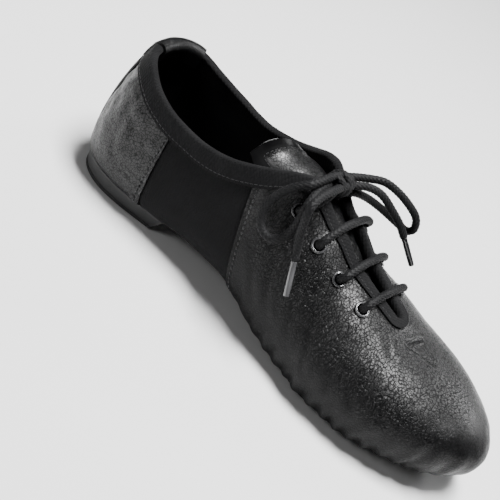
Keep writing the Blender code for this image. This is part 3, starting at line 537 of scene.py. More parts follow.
def roof_normal(x, y, side):
    """The direction square to the last's top at a place in plan."""
    step = 1e-4
    slope_x = (roof(x + step, y, side) - roof(x - step, y, side)) / (2 * step)
    slope_y = (roof(x, y + step, side) - roof(x, y - step, side)) / (2 * step)
    return Vector((-float(slope_x), -float(slope_y), 1)).normalized()


def eyelet_place(side, i):
    """Centre and normal of an eyelet, counted from the top."""
    x = EYELET_FIRST + i * EYELET_PITCH + (MEDIAL_FORWARD if side > 0 else 0)
    y = EYELET_ROW - i * EYELET_ROW_TAPER - (MEDIAL_INWARD if side > 0 else 0)
    return Vector((x, side * y, float(roof(x, y, side)))), roof_normal(x, side * y, side)


def over_facing(x, y, lift):
    """A point of the lace above the facing, or above the throat at its edges' height."""
    side = LATERAL if y < 0 else MEDIAL
    edge = float(at(THROAT, "opening", x)) * THROAT_WIDTH
    place = max(abs(y), edge) * side
    n = roof_normal(x, place, side)
    high = Vector((x, y, float(roof(x, place, side))))
    return high + (n if abs(y) > edge else Vector((0, 0, 1))) * lift


def eyelet_run(side, i):
    """The lace's way out of an eyelet, from inside the ring to above its flange."""
    centre, normal = eyelet_place(side, i)
    inward = Vector((0, -side, 0))
    inward = (inward - normal * inward.dot(normal)).normalized()
    lift = FLANGE_LIFT + GAP + LACE / 2
    return [
        centre - normal * RUN_DEPTH,
        centre + normal * lift * 0.45,
        centre + normal * (lift + RUN_PLAY) + inward * LACE * 0.7,
    ]

# %% [markdown]
# ## The bow's routes
# The loops and ends stand free above the leather. Each route is a few points that the cord passes
# through, in the last's own axes, seen right from the camera and kept clear of the leather.

# %% Routes of the bow
LACE_ROUTES = {
    "lace_top_lateral": (
        (0.1166, -0.0178, 0.0753), (0.1174, -0.0139, 0.0778), (0.1173, -0.0106, 0.0790),
        (0.1169, -0.0074, 0.0782),
    ),
    "lace_top_medial": (
        (0.1189, 0.0162, 0.0754), (0.1186, 0.0132, 0.0776), (0.1176, 0.0100, 0.0792),
        (0.1162, 0.0048, 0.0780),
    ),
    "lace_loop_lateral": (
        (0.1123, -0.0084, 0.0846), (0.1116, -0.0166, 0.0845), (0.1101, -0.0237, 0.0831),
        (0.1070, -0.0264, 0.0800), (0.1045, -0.0281, 0.0766), (0.1024, -0.0294, 0.0721),
        (0.1013, -0.0311, 0.0675), (0.1013, -0.0322, 0.0628), (0.1027, -0.0329, 0.0586),
        (0.1052, -0.0335, 0.0555), (0.1089, -0.0337, 0.0540), (0.1123, -0.0334, 0.0544),
        (0.1148, -0.0328, 0.0564), (0.1163, -0.0318, 0.0594), (0.1169, -0.0310, 0.0630),
        (0.1169, -0.0307, 0.0668), (0.1164, -0.0304, 0.0714), (0.1158, -0.0298, 0.0750),
        (0.1150, -0.0276, 0.0776), (0.1140, -0.0227, 0.0798), (0.1132, -0.0161, 0.0807),
        (0.1131, -0.0115, 0.0809), (0.1129, -0.0074, 0.0800),
    ),
    "lace_end_lateral": (
        (0.1183, -0.0076, 0.0825), (0.1182, -0.0130, 0.0834), (0.1178, -0.0200, 0.0840),
        (0.1175, -0.0274, 0.0833), (0.1178, -0.0334, 0.0815), (0.1187, -0.0353, 0.0782),
        (0.1198, -0.0350, 0.0735), (0.1211, -0.0335, 0.0676), (0.1228, -0.0326, 0.0625),
        (0.1249, -0.0325, 0.0580), (0.1269, -0.0338, 0.0546),
    ),
    "lace_loop_medial": (
        (0.1158, 0.0055, 0.0827), (0.1185, 0.0103, 0.0833), (0.1226, 0.0152, 0.0844),
        (0.1283, 0.0201, 0.0858), (0.1353, 0.0251, 0.0841), (0.1428, 0.0290, 0.0810),
        (0.1491, 0.0320, 0.0769), (0.1517, 0.0340, 0.0708), (0.1498, 0.0340, 0.0675),
        (0.1446, 0.0310, 0.0685), (0.1366, 0.0260, 0.0712), (0.1283, 0.0190, 0.0742),
        (0.1226, 0.0100, 0.0768), (0.1202, 0.0050, 0.0763),
    ),
    "lace_end_medial": (
        (0.1198, 0.0046, 0.0810), (0.1251, 0.0098, 0.0833), (0.1317, 0.0149, 0.0825),
        (0.1393, 0.0189, 0.0782), (0.1464, 0.0225, 0.0734), (0.1517, 0.0250, 0.0684),
    ),
}

# %% [markdown]
# ## Laying the lace
# A bar is one smooth arch from ring to ring, as high as the tape's edges make it. The bow's parts
# take their routes as they are, and their lengths are printed.

# %% Bars and bow
BOW_STEP = 0.0034
BAR_SHARES, BAR_ROUND = (0.16, 0.3, 0.5, 0.7, 0.84), 2.6


def route_length(path):
    """Length of a path of points."""
    return float(np.linalg.norm(np.diff(path, axis=0), axis=1).sum())


braids = {}
for i in range(1, EYELETS):
    near, far = eyelet_run(LATERAL, i), eyelet_run(MEDIAL, i)
    lift = TAPE_LIFT + BAR_PLAY + LACE / 2
    shares = np.array(BAR_SHARES)
    across = [near[-1].lerp(far[-1], t) for t in shares]
    needed = [over_facing(q.x, q.y, lift).z - q.z for q in across]
    arch = 1 - np.abs(2 * shares - 1) ** BAR_ROUND
    rise = max(need / a for need, a in zip(needed, arch))
    middle = [q + Vector((0, 0, rise * a)) for q, a in zip(across, arch)]
    way = smooth_route(near + middle + far[::-1], WAY_STEP)
    braids[f"lace_bar_{i}"] = braid_tube(f"lace_bar_{i}", way)
for side, name in ((LATERAL, "lateral"), (MEDIAL, "medial")):
    top = f"lace_top_{name}"
    way = smooth_route([*map(np.array, eyelet_run(side, 0)), *np.array(LACE_ROUTES[top])],
                       WAY_STEP)
    braids[top] = braid_tube(top, way)
    for part in ("loop", "end"):
        free = f"lace_{part}_{name}"
        way = smooth_route(np.array(LACE_ROUTES[free]), BOW_STEP)
        braids[free] = braid_tube(free, way)
        braids[free + "_way"] = way
        print(free, "mm:", round(route_length(way) * 1000, 1))

# %% [markdown]
# The knot is the same cord wound once round the strands that pass through it. A ball would hide
# that, so a closed ring of braid is laid round four short strands, each joining two of the bow's
# routes, and a slanting turn crosses its face.

# %% Knot and lace tips
def ring_path(centre, wide, high, lean, turn=0.0):
    """A closed oval round the Y axis, leaning sideways as it rises."""
    angle = np.linspace(0, 2 * math.pi, 41) + turn
    return np.stack([
        centre[0] + wide * np.cos(angle),
        centre[1] + lean * np.sin(angle),
        centre[2] + high * np.sin(angle),
    ], 1)


KNOT_LACE = 0.0036  # drawn tight
knot_parts = [
    braid_tube("knot_wrap", ring_path(KNOT, 0.0045, 0.0052, 0.0008), closed=True),
    braid_tube("knot_turn", ring_path((0.1150, -0.0045, 0.0806), 0.0038, 0.0040, -0.0014),
               diameter=KNOT_LACE, closed=True),
    braid_tube("knot_turn", ring_path((0.1160, 0.0022, 0.0796), 0.0038, 0.0040, 0.0012),
               diameter=KNOT_LACE, closed=True),
]
for a, b, rise in (
    ("lace_loop_lateral", "lace_loop_medial", 0.0006),
    ("lace_end_lateral", "lace_end_medial", 0.0008),
    ("lace_top_lateral", "lace_top_medial", -0.0002),
):
    start = np.array(LACE_ROUTES[a][-1 if "top" in a else 0])
    end = np.array(LACE_ROUTES[b][-1 if "top" in b else 0])
    middle = (start + end) / 2 + (0, 0, rise)
    knot_parts.append(braid_tube("knot_strand", [start, middle, end], diameter=KNOT_LACE))
start = np.array(LACE_ROUTES["lace_loop_lateral"][-1])
end = np.array(LACE_ROUTES["lace_loop_medial"][-1])
knot_parts.append(braid_tube("knot_strand", [start, (start + end) / 2, end],
                             diameter=KNOT_LACE))
braids["lace_knot"] = join("knot_of_lace", knot_parts)

AGLET_LENGTH = 0.016
AGLET = 0.0029  # diameter


def lathe(name, profile, sides=32):
    """A body turned from radii and heights, its poles and seam welded."""
    angle = np.linspace(0, 2 * math.pi, sides + 1)
    rows = [np.stack([r * np.cos(angle), r * np.sin(angle), np.full(sides + 1, h)], 1) - SHIFT
            for r, h in profile]
    return lay_sheet(name, np.array(rows), wrap=True)


TIP_PROFILE = (  # share of the radius, share of the length
    (0.0, 0.0), (0.80, 0.0), (0.94, 0.006), (1.0, 0.02), (1.0, 0.10), (0.94, 0.13), (0.96, 0.17),
    (1.0, 0.20), (1.0, 0.60), (0.99, 0.97), (0.93, 0.995), (0.80, 1.0), (0.66, 0.985),
    (0.60, 0.94), (0.0, 0.93),
)


def lace_tip(name, way):
    """The rolled film tip: crimped below its mouth, with a hollow end."""
    end = Vector(way[-1])
    ahead = (end - Vector(way[-2])).normalized()
    tip = lathe(name, [(r * AGLET / 2, h * AGLET_LENGTH) for r, h in TIP_PROFILE])
    turn = ahead.to_track_quat("Z", "X").to_matrix().to_4x4()
    tip.data.transform(Matrix.Translation(end + ahead * 0.0002 + Vector(SHIFT)) @ turn)
    pick(tip)
    bpy.ops.object.shade_smooth_by_angle(angle=math.radians(40))
    return tip


tips = {name: lace_tip(f"tip_{name}", braids[f"lace_end_{name}_way"]) for name in (
    "lateral", "medial")}
print("Knot faces:", len(braids["lace_knot"].data.polygons))

# %% [markdown]
# ## The leather's relief
# Leather pulled over a last is never smooth. Two things shape it here: soft creases placed one by
# one, each a trough with a low ridge on both sides, and gathers where the edge was drawn in under
# the sole. Fine grain is left to the material. Each crease is written as stations (u, v) on the
# last, its half width and its depth, so it follows the shoe and not the picture.

# %% Relief of the leather
CREASES = (  # side, ((u, v), ...), half width, depth, in metres
    (LATERAL, ((1.76, 0.30), (1.80, 0.10), (1.83, -0.12)), 0.0016, 0.00050),
    (LATERAL, ((1.66, 0.36), (1.70, 0.16), (1.74, -0.10)), 0.0018, 0.00045),
    (LATERAL, ((1.86, 0.34), (1.90, 0.14), (1.93, -0.06)), 0.0014, 0.00040),
    (LATERAL, ((1.56, 0.30), (1.60, 0.08), (1.66, -0.16)), 0.0020, 0.00045),
    (LATERAL, ((1.94, 0.30), (1.99, 0.12), (2.05, 0.00)), 0.0015, 0.00040),
    (LATERAL, ((1.48, 0.20), (1.54, 0.00), (1.60, -0.25)), 0.0022, 0.00040),
    (LATERAL, ((2.06, 0.34), (2.14, 0.20), (2.22, 0.10)), 0.0016, 0.00030),
    (LATERAL, ((1.47, 0.62), (1.52, 0.52), (1.56, 0.40)), 0.0014, 0.00040),
    (LATERAL, ((1.48, 0.70), (1.50, 0.58), (1.50, 0.44)), 0.0012, 0.00040),
    (LATERAL, ((1.44, 0.60), (1.47, 0.46), (1.48, 0.30)), 0.0014, 0.00035),
    (LATERAL, ((1.58, 0.66), (1.61, 0.56), (1.63, 0.45)), 0.0014, 0.00035),
    (LATERAL, ((1.69, 0.68), (1.72, 0.58), (1.73, 0.48)), 0.0014, 0.00030),
    (LATERAL, ((1.80, 0.70), (1.82, 0.60), (1.82, 0.50)), 0.0014, 0.00030),
    (LATERAL, ((1.90, 0.86), (1.95, 0.74), (2.02, 0.66)), 0.0018, 0.00030),
    (MEDIAL, ((1.72, 0.42), (1.77, 0.20), (1.80, -0.08)), 0.0018, 0.00045),
    (MEDIAL, ((1.84, 0.40), (1.88, 0.18), (1.90, -0.06)), 0.0016, 0.00040),
    (MEDIAL, ((1.60, 0.40), (1.64, 0.14), (1.70, -0.14)), 0.0020, 0.00045),
    (MEDIAL, ((1.95, 0.38), (2.00, 0.16), (2.06, 0.02)), 0.0016, 0.00035),
    (MEDIAL, ((1.58, 0.66), (1.61, 0.54), (1.63, 0.42)), 0.0014, 0.00035),
    (MEDIAL, ((1.72, 0.68), (1.75, 0.57), (1.76, 0.46)), 0.0014, 0.00030),
    (LATERAL, ((0.30, 0.30), (0.42, 0.05), (0.50, -0.20)), 0.0022, 0.00030),
    (LATERAL, ((0.70, 0.24), (0.78, 0.05), (0.90, -0.12)), 0.0020, 0.00030),
    (MEDIAL, ((0.40, 0.30), (0.50, 0.05), (0.56, -0.20)), 0.0022, 0.00030),
)
GATHERS = (  # place round the forefoot's edge, from 0 at the vamp seam to 1 at the tip, and depth
    (0.06, 0.3), (0.13, 0.4), (0.19, 0.6), (0.245, 0.8), (0.30, 0.9), (0.345, 0.8), (0.405, 1.0),
    (0.455, 0.9), (0.515, 1.0), (0.56, 0.8), (0.605, 1.0), (0.665, 0.9), (0.71, 0.7),
    (0.755, 0.8), (0.80, 0.6), (0.85, 0.6), (0.89, 0.5), (0.94, 0.4),
)
GATHER_RISE = 0.021  # how far up from the feather line they fade
GATHER_DEPTH = 0.0013
GATHER_WIDTH = 0.0135  # as a share of the edge's length
SEAM_STITCH = 0.0022  # stitch row from a seam's cut edge
SEAM_ROLL, SEAM_ROLL_AT, SEAM_ROLL_WIDE = 0.00030, 0.0007, 0.0008  # the edge's raised lip
SEAM_DIP, SEAM_DIP_WIDE = 0.00032, 0.0007  # where the thread pulls the leather down
PULL = ((0.00022, 95, 3.0), (0.00009, 320, 7.0))  # height, cells to a metre, seed

# %% [markdown]
# ## Creases and gathers
# A crease is a trough with a low bank on each side and dies away at its ends. The small triangle on
# the vamp is drawn down by its thread in the same way.

# %% Creases
def soft(x, low, high):
    """A smooth step from 0 at low to 1 at high."""
    t = np.clip((x - low) / (high - low), 0, 1)
    return t * t * (3 - 2 * t)


def crease_depth(p, side):
    """Sum of the troughs and ridges of one side's creases at points p."""
    depth = np.zeros(len(p))
    for crease_side, stations, width, deep in CREASES:
        if crease_side != side:
            continue
        u, v = np.array(stations, float).T
        t = np.linspace(0, 1, 17)
        knots = np.linspace(0, 1, len(u))
        line = skin(np.interp(t, knots, u), side, np.interp(t, knots, v))
        near = np.linalg.norm(p[:, None] - line[None], axis=2)
        i = np.argmin(near, axis=1)
        d = near[np.arange(len(p)), i] / width
        fade = np.sin(math.pi * t[i]) ** 0.6
        depth += deep * fade * (0.45 * np.exp(-((d - 2.1) ** 2)) - np.exp(-(d**2)))
    return depth


TRIANGLE = ((0.1866, -0.0084), (0.1910, 0.0075), (0.2031, -0.0001), (0.1866, -0.0084))
GROOVE, GROOVE_WIDE = 0.00030, 0.0006
BANK, BANK_AT, BANK_WIDE = 0.00014, 0.0016, 0.0007


def triangle_groove(p):
    """The leather drawn down along the stitched triangle on the vamp."""
    near = np.full(len(p), 1.0)
    for (ax, ay), (bx, by) in zip(TRIANGLE, TRIANGLE[1:]):
        run = np.array((bx - ax, by - ay))
        off = p[:, :2] - np.array((ax, ay))
        t = np.clip(off @ run / (run @ run), 0, 1)
        near = np.minimum(near, np.linalg.norm(off - t[:, None] * run, axis=1))
    return -GROOVE * np.exp(-((near / GROOVE_WIDE) ** 2)) + BANK * np.exp(
        -(((near - BANK_AT) / BANK_WIDE) ** 2))


def crumple(p, scale, seed):
    """Gentle unevenness of a pulled skin, from smooth noise."""
    spot = Vector((seed, seed * 2.3, -seed))
    return np.array([noise.noise(Vector(q) * scale + spot) for q in p])

# %% [markdown]
# ## All relief together
# Creases, gathers round the forefoot, the raised lips of the two seams and a slow unevenness add up
# to one height over the last. Gathers are narrow at the sole's edge, and each leans its own way.

# %% Relief at a point
def leather_relief(u, v, p, side):
    """How far the leather stands out from the last at points p, which lie at u and v."""
    height = crease_depth(p, side) + triangle_groove(p)
    u_low = float(body_u(VAMP_SEAM))
    edge = np.where(u > u_low, (station(u) - VAMP_SEAM) / (LENGTH - VAMP_SEAM), -1)
    outline_u = np.linspace(u_low, 3, 200)
    outline = skin(outline_u, side, -0.5)
    run = np.concatenate([[0], np.cumsum(np.linalg.norm(np.diff(outline, axis=0), axis=1))])
    place = np.interp(u, outline_u, run / run[-1])
    up = np.clip(p[:, 2] - underside(p[:, 0]), 0, 1) / GATHER_RISE
    pull = np.zeros(len(p))
    for n, (where, deep) in enumerate(GATHERS):
        lean = 0.030 * math.sin(n * 2.1) * up
        wide = GATHER_WIDTH + 0.0030 * math.sin(n * 1.3) + 0.005 * up
        d = (place - where - lean) / wide
        tall = np.clip(1.1 - up * (0.8 + 0.7 * math.sin(n * 1.7) ** 2), 0, 1)
        pull -= deep * tall * (np.exp(-(d**2)) - 0.45 * np.exp(-((np.abs(d) - 1.9) ** 2)))
    foot = 0.5 + 0.5 * soft(up, 0.0, 0.22)
    height += np.where(edge > 0, GATHER_DEPTH * pull * foot, 0)
    for cut in (station(u) - VAMP_SEAM, COUNTER_SEAM - station(u)):
        cut = np.where((cut > -1e-4) & (cut < 0.006), cut, 1.0)
        height += SEAM_ROLL * np.exp(-((cut - SEAM_ROLL_AT) / SEAM_ROLL_WIDE) ** 2)
        height -= SEAM_DIP * np.exp(-((cut - SEAM_STITCH) / SEAM_DIP_WIDE) ** 2)
    height += sum(tall * crumple(p, scale, seed) for tall, scale, seed in PULL)
    return height

# %% [markdown]
# ## The upper
# The leather parts are cut, laid over the last and sewn to the stretch inserts from above, so the
# leather's cut edge stands over the fabric. Each part is a fine sheet on the last that gets its
# thickness from Solidify. The sheet's rows run down each section, so a seam or a stitch row can be
# set at a true distance from an edge.

# %% Sheets on the last
HEEL_LENGTH = 0.063
SOLE_BACK = 0.128
LASTING_MARGIN = 0.012
MARGIN_LAP = 0.004
MARGIN_ROWS = 9


def even_u(start, end, step):
    """Sections at an even step along the widest line."""
    u = np.linspace(start, end, 600)
    line = skin(u, MEDIAL, -0.2)
    run = np.concatenate([[0], np.cumsum(np.linalg.norm(np.diff(line, axis=0), axis=1))])
    return np.interp(np.linspace(0, run[-1], int(run[-1] / step) + 2), run, u)


def section_v(u, side, rows):
    """Rows at an even step down one section, from the top edge to the feather line."""
    v = np.linspace(-1, rim_v(u, side), 160)
    run = np.linalg.norm(np.diff(skin(u, side, v), axis=0), axis=1)
    run = np.concatenate([[0], np.cumsum(run)])
    return np.interp(np.linspace(0, run[-1], rows), run, v)


def margin_points(u, side):
    """The lasting margin of one section, from its inner edge out to the feather line."""
    feather = skin(u, side, -1.0)
    middle = float(section(u, side)[0])
    if 1 < u < 2:
        middle = feather[0]
    inward = np.array([middle, 0]) - feather[:2]
    waist = HEEL_LENGTH - MARGIN_LAP < feather[0] < SOLE_BACK + MARGIN_LAP
    share = 1 if waist else min(LASTING_MARGIN / np.linalg.norm(inward), 0.8)
    t = np.linspace(share, 0, MARGIN_ROWS, endpoint=False)[:, None]
    plan = feather[:2] + inward * t
    if waist:
        plan[0, 1] = 0
    return np.column_stack([plan, underside(plan[:, 0])])


def last_sheet(side, us, rows, lift=0.0, relief=None):
    """Points of a sheet on one side of the last, lifted off it by a number or a function."""
    v = np.array([section_v(float(u), side, rows) for u in us])
    u = np.repeat(np.asarray(us, float)[:, None], rows, 1)
    p, n = skin(u, side, v), outward(u, side, v)
    raised = lift(u) if callable(lift) else np.full(u.shape, lift)
    if relief:
        flat = relief(u.ravel(), v.ravel(), p.reshape(-1, 3), side)
        raised = raised + flat.reshape(u.shape)
    out = p + n * raised[..., None]
    under = np.array([margin_points(float(a), side) for a in us])
    fade = np.linspace(0.2, 1, MARGIN_ROWS)[None, :, None] ** 2
    under = under + (out[:, :1] - p[:, :1]) * fade * (0.0, 0.0, 1.0)
    return np.concatenate([under, out], axis=1)

# %% [markdown]
# ## Walls and lace holes
# Solidify gives a sheet its wall on the inside, so its face stays where the relief put it. The lace
# holes are faces left out where an eyelet's flange hides the cut.

# %% Walls and holes
def thicken(piece, thickness):
    """Give a sheet its wall on the inside and apply it."""
    pick(piece)
    wall = piece.modifiers.new("wall", "SOLIDIFY")
    wall.thickness, wall.offset = thickness, -1
    wall.use_even_offset = False
    bpy.ops.object.modifier_apply(modifier=wall.name)
    bpy.ops.object.shade_smooth_by_angle(angle=math.radians(50))
    return piece


def punch(piece, radius):
    """Cut the eight lace holes through a sheet: the faces within the radius of an eyelet go."""
    centres = np.array([[*(eyelet_place(side, i)[0])] for side in (LATERAL, MEDIAL)
                        for i in range(EYELETS)]) + SHIFT
    count = len(piece.data.polygons)
    middles = np.empty(count * 3, np.float32)
    piece.data.polygons.foreach_get("center", middles)
    near = np.linalg.norm(middles.reshape(-1, 1, 3) - centres[None], axis=2).min(axis=1)
    pick(piece)
    bpy.ops.object.mode_set(mode="EDIT")
    bpy.ops.mesh.select_mode(type="FACE")
    bpy.ops.object.mode_set(mode="OBJECT")
    piece.data.polygons.foreach_set("select", near < radius)
    bpy.ops.object.mode_set(mode="EDIT")
    bpy.ops.mesh.delete(type="FACE")
    bpy.ops.mesh.select_mode(type="VERT")
    bpy.ops.object.mode_set(mode="OBJECT")


def both_sides(name, make, flat=1e-5):
    """A piece from its lateral and medial sheets, welded where they meet."""
    halves = [lay_sheet(f"{name}_{side}", make(side)) for side in (LATERAL, MEDIAL)]
    piece = join(name, halves)
    weld(piece, flat)
    return piece

# %% [markdown]
# ## Vamp
# One piece of leather round the toe, from seam to seam. Its rows are about a millimetre apart, fine
# enough for the creases and the gathers to be real shape.

# %% Vamp
LEATHER = 0.0010  # thickness
VAMP_STEP, VAMP_ROWS = 0.00105, 74
LACE_HOLE = 0.0030  # radius, hidden by the flange
RIDGE_WELD = 3e-5  # how far apart the two sides may meet on the ridge
vamp_u = even_u(float(body_u(VAMP_SEAM)), 3.0, VAMP_STEP)
vamp = both_sides("vamp", lambda side: last_sheet(side, vamp_u, VAMP_ROWS,
                                                  relief=leather_relief), RIDGE_WELD)
punch(vamp, LACE_HOLE)
thicken(vamp, LEATHER)
print("Vamp faces:", len(vamp.data.polygons))

# %% [markdown]
# ## Counter
# The heel's leather puckers where the tape pulls it in and where it is sewn to the insert. Ribs run
# down from the tape, short rungs lie beside the seam, and the top is a little crumpled.

# %% Counter
HEEL_TURN = 0.030  # mean radius of the heel's curve
RIB, RIB_PITCH = 0.00030, 0.0041  # puckers under the tape
RUNG = 0.00022  # puckers beside the seam
CRUMPLE, CRUMPLE_TOP = 0.0002, 0.0005
COUNTER_STEP, COUNTER_ROWS = 0.0011, 56
counter_u = even_u(0.0, float(body_u(COUNTER_SEAM)), COUNTER_STEP)


def counter_relief(u, v, p, side):
    """Puckers under the collar's tape and beside the counter seam."""
    turn = np.arctan2(p[:, 1], HEEL_CURVE - p[:, 0]) * HEEL_TURN
    tops = np.array([rim_v(float(a), side) for a in counter_u])
    down = np.clip((np.interp(u, counter_u, tops) - v) / 0.45, 0, 1)
    ribs = np.sin(turn / RIB_PITCH * 2 * math.pi + 1.6 * np.sin(turn * 520))
    ribs = ribs * (1 - soft(down, 0.0, 0.4))
    seam = 1 - soft(COUNTER_SEAM - station(u), 0.004, 0.016)
    rungs = np.sin(v * 34 + 2.0 * np.sin(v * 9)) * seam
    top = 1 - soft(down, 0.3, 1.3)
    return (leather_relief(u, v, p, side) + RIB * ribs + RUNG * rungs
            + (CRUMPLE + CRUMPLE_TOP * top) * crumple(p, 150, 5.0))


counter = both_sides("counter", lambda side: last_sheet(side, counter_u, COUNTER_ROWS,
                                                        relief=counter_relief), RIDGE_WELD)
thicken(counter, LEATHER)
print("Counter faces:", len(counter.data.polygons))

# %% [markdown]
# ## Stretch inserts
# The fabric lies below the leather and runs under its edges at both ends, so its lift dips there
# and the leather's cut edge stands free.

# %% Stretch inserts
INSERT_LAP = 0.0022  # under the leather's edge
INSERT_SINK, INSERT_DIP, INSERT_SLOPE = 0.00055, 0.00062, 0.0012
INSERT_THICKNESS = 0.0009
insert_u = body_u(np.linspace(COUNTER_SEAM - INSERT_LAP, VAMP_SEAM + INSERT_LAP, 56))


def insert_lift(u):
    """Below the leather's face in the middle and below its back at both laps."""
    x = station(u)
    inside = np.minimum(x - COUNTER_SEAM, VAMP_SEAM - x)
    return -INSERT_SINK - INSERT_DIP * (1 - soft(inside, 0.0, INSERT_SLOPE))


inserts = []
for side, name in ((LATERAL, "insert_lateral"), (MEDIAL, "insert_medial")):
    piece = lay_sheet(name, last_sheet(side, insert_u, 50, lift=insert_lift))
    weld(piece)
    inserts.append(thicken(piece, INSERT_THICKNESS))
print("Insert faces:", [len(piece.data.polygons) for piece in inserts])

# %% [markdown]
# ## Lining
# A thin lining hangs just inside the wall, from the collar down. It closes the view through the
# throat and the eyelets.

# %% Lining
lining_u = even_u(0.0, 3.0, 0.0030)
LINING_SINK, LINING_THICKNESS, LINING_HOLE = 0.00165, 0.0006, 0.0036
lining = both_sides("lining", lambda side: last_sheet(side, lining_u, 34, lift=-LINING_SINK),
                    2e-4)
punch(lining, LINING_HOLE)
thicken(lining, LINING_THICKNESS)
print("Lining faces:", len(lining.data.polygons))

# %% [markdown]
# ## Bindings, tab, strap and tongue
# A tape folded over the cut edge runs round the collar and down both facings in one strip. It is
# lofted from sections that wrap the edge, each as wide as the real tape is there, and drawn in
# slightly along its stitch row. The heel tab is the same loft in leather, wider and thicker.

# %% Folded strips
BINDING_SEAT = 0.0004
BINDING_WIDTH = 0.009
BINDING_THICKNESS = 0.0008
INNER_SHARE = 0.85
TAPE_STITCH = 0.0015  # stitch row from the tape's lower edge


def binding_width(u, side):
    """Width of the tape's outer face at a section."""
    x = skin(u, side, rim_v(float(u), side))[0]
    return float(at(TAPE_WIDTHS, "binding", x)) * BINDING_WIDTH


def wrap_section(u, side, widths, near, thickness, across=9, dip=0.00018):
    """A section of a strip folded over the edge: out, over and in, then back along its inside."""
    top = rim_v(float(u), side)
    edge, n = skin(u, side, top), outward(u, side, top)
    up = edge - skin(u, side, top - 0.01)
    up = up / np.linalg.norm(up)
    v = np.array([float(below_rim(u, side, w)) for w in np.linspace(1, 0.0, across) * widths[0]])
    uu = np.full(across, u)
    out, out_n = skin(uu, side, v), outward(uu, side, v)
    v = np.array([float(below_rim(u, side, w)) for w in np.linspace(0.0, 1, 6) * widths[1]])
    uu = np.full(6, u)
    inn, inn_n = skin(uu, side, v), outward(uu, side, v)
    return wrapped(out, out_n, inn, inn_n, edge, n, up, widths, near, thickness, dip)


def wrapped(out, out_n, inn, inn_n, edge, n, up, widths, near, thickness, dip=0.00018):
    """A folded strip's section from its lines outside and inside."""
    far = near + thickness
    down = np.linspace(1, 0, len(out)) * widths[0]
    sink = dip * np.exp(-((widths[0] - down - TAPE_STITCH) / 0.0006) ** 2)
    sink[0] += 0.00025
    face = out + out_n * (far - sink)[:, None]
    lining_face = inn - inn_n * (WALL + far)
    middle, half = edge - n * WALL / 2, WALL / 2
    crown = [(math.cos(a), math.sin(a)) for a in np.linspace(0, math.pi, 9)]
    over = [middle + n * (half + far) * a + up * far * 1.15 * b for a, b in crown]
    bottom_in = lining_face[-1] + inn_n[-1] * thickness
    bottom_out = out[0] + out_n[0] * near
    inside = [middle - n * (half + near) + up * near, middle + n * (half + near) + up * near]
    return np.array([*face[:-1], *over, *lining_face[1:], bottom_in, *inside, bottom_out, face[0]])

# %% [markdown]
# ## Lofting a strip
# Sections in a row become one skin. Round the end of the throat the tape turns a tight half
# circle, so its sections fan about that end and grow narrower.

# %% Lofting a strip
def strip(name, rings, closed=False):
    """A loft through rings, its two ends capped or welded to each other."""
    rings = np.array(rings)
    if not closed:
        ends = [np.repeat(ring.mean(0, keepdims=True), len(ring), 0)
                for ring in (rings[0], rings[-1])]
        rings = np.array([ends[0], *rings, ends[1]])
    piece = lay_sheet(name, rings, wrap=True)
    pick(piece)
    bpy.ops.object.shade_smooth_by_angle(angle=math.radians(50))
    return piece


def throat_fan(turn, widths, near, thickness):
    """The tape's section where it turns round the throat's end, in the direction of turn."""
    wide = float(at(THROAT, "opening", THROAT_END - THROAT_ROUND)) * THROAT_WIDTH
    spot = np.array([THROAT_END - THROAT_ROUND + THROAT_ROUND * math.cos(turn),
                     wide * math.sin(turn)])
    way = np.array([wide * math.cos(turn), THROAT_ROUND * math.sin(turn)])
    way = way / np.linalg.norm(way)

    def line(distances):
        plan = spot + way * np.asarray(distances)[:, None]
        points, ups = [], []
        for x, y in plan:
            side = LATERAL if y < 0 else MEDIAL
            points.append((x, y, float(roof(x, y, side))))
            ups.append(tuple(roof_normal(x, y, side)))
        return np.array(points), np.array(ups)

    slim = 1 - 0.42 * math.cos(turn) ** 2
    widths = (widths[0] * slim, widths[1] * slim)
    out, out_n = line(np.linspace(1, 0, 9) * widths[0])
    inn, inn_n = line(np.linspace(0, 1, 6) * widths[1])
    back = np.array([-way[0], -way[1], 0.0])
    back -= out_n[-1] * np.dot(back, out_n[-1])
    back /= np.linalg.norm(back)
    return wrapped(out, out_n, inn, inn_n, out[-1], out_n[-1], back, widths, near, thickness)

# %% [markdown]
# ## Collar tape
# The strip starts at the throat's end, runs up one facing, round the collar and down the other, and
# closes on itself, as the real tape does.

# %% Collar tape
open_end = float(body_u(THROAT_END - THROAT_ROUND))
while float(skin(open_end, LATERAL, rim_v(open_end, LATERAL))[0]) < THROAT_END - THROAT_ROUND:
    open_end += 0.001
rim_run = even_u(0.0, open_end, 0.0014)
end_width = binding_width(open_end, LATERAL)
fan = [throat_fan(a, (end_width, end_width * INNER_SHARE), BINDING_SEAT, BINDING_THICKNESS)
       for a in np.radians(np.linspace(-84, 84, 21))]
rings = fan[10::-1]
for side, run in ((LATERAL, rim_run[::-1]), (MEDIAL, rim_run[1:])):
    for u in run:
        width = binding_width(u, side)
        rings.append(wrap_section(u, side, (width, width * INNER_SHARE), BINDING_SEAT,
                                  BINDING_THICKNESS))
rings += fan[:9:-1]
tape = strip("collar_tape", rings, closed=True)
print("Tape faces:", len(tape.data.polygons))

# %% [markdown]
# ## Heel tab
# A strip of leather folded over the tape at the back. It reaches farther on the inner side.

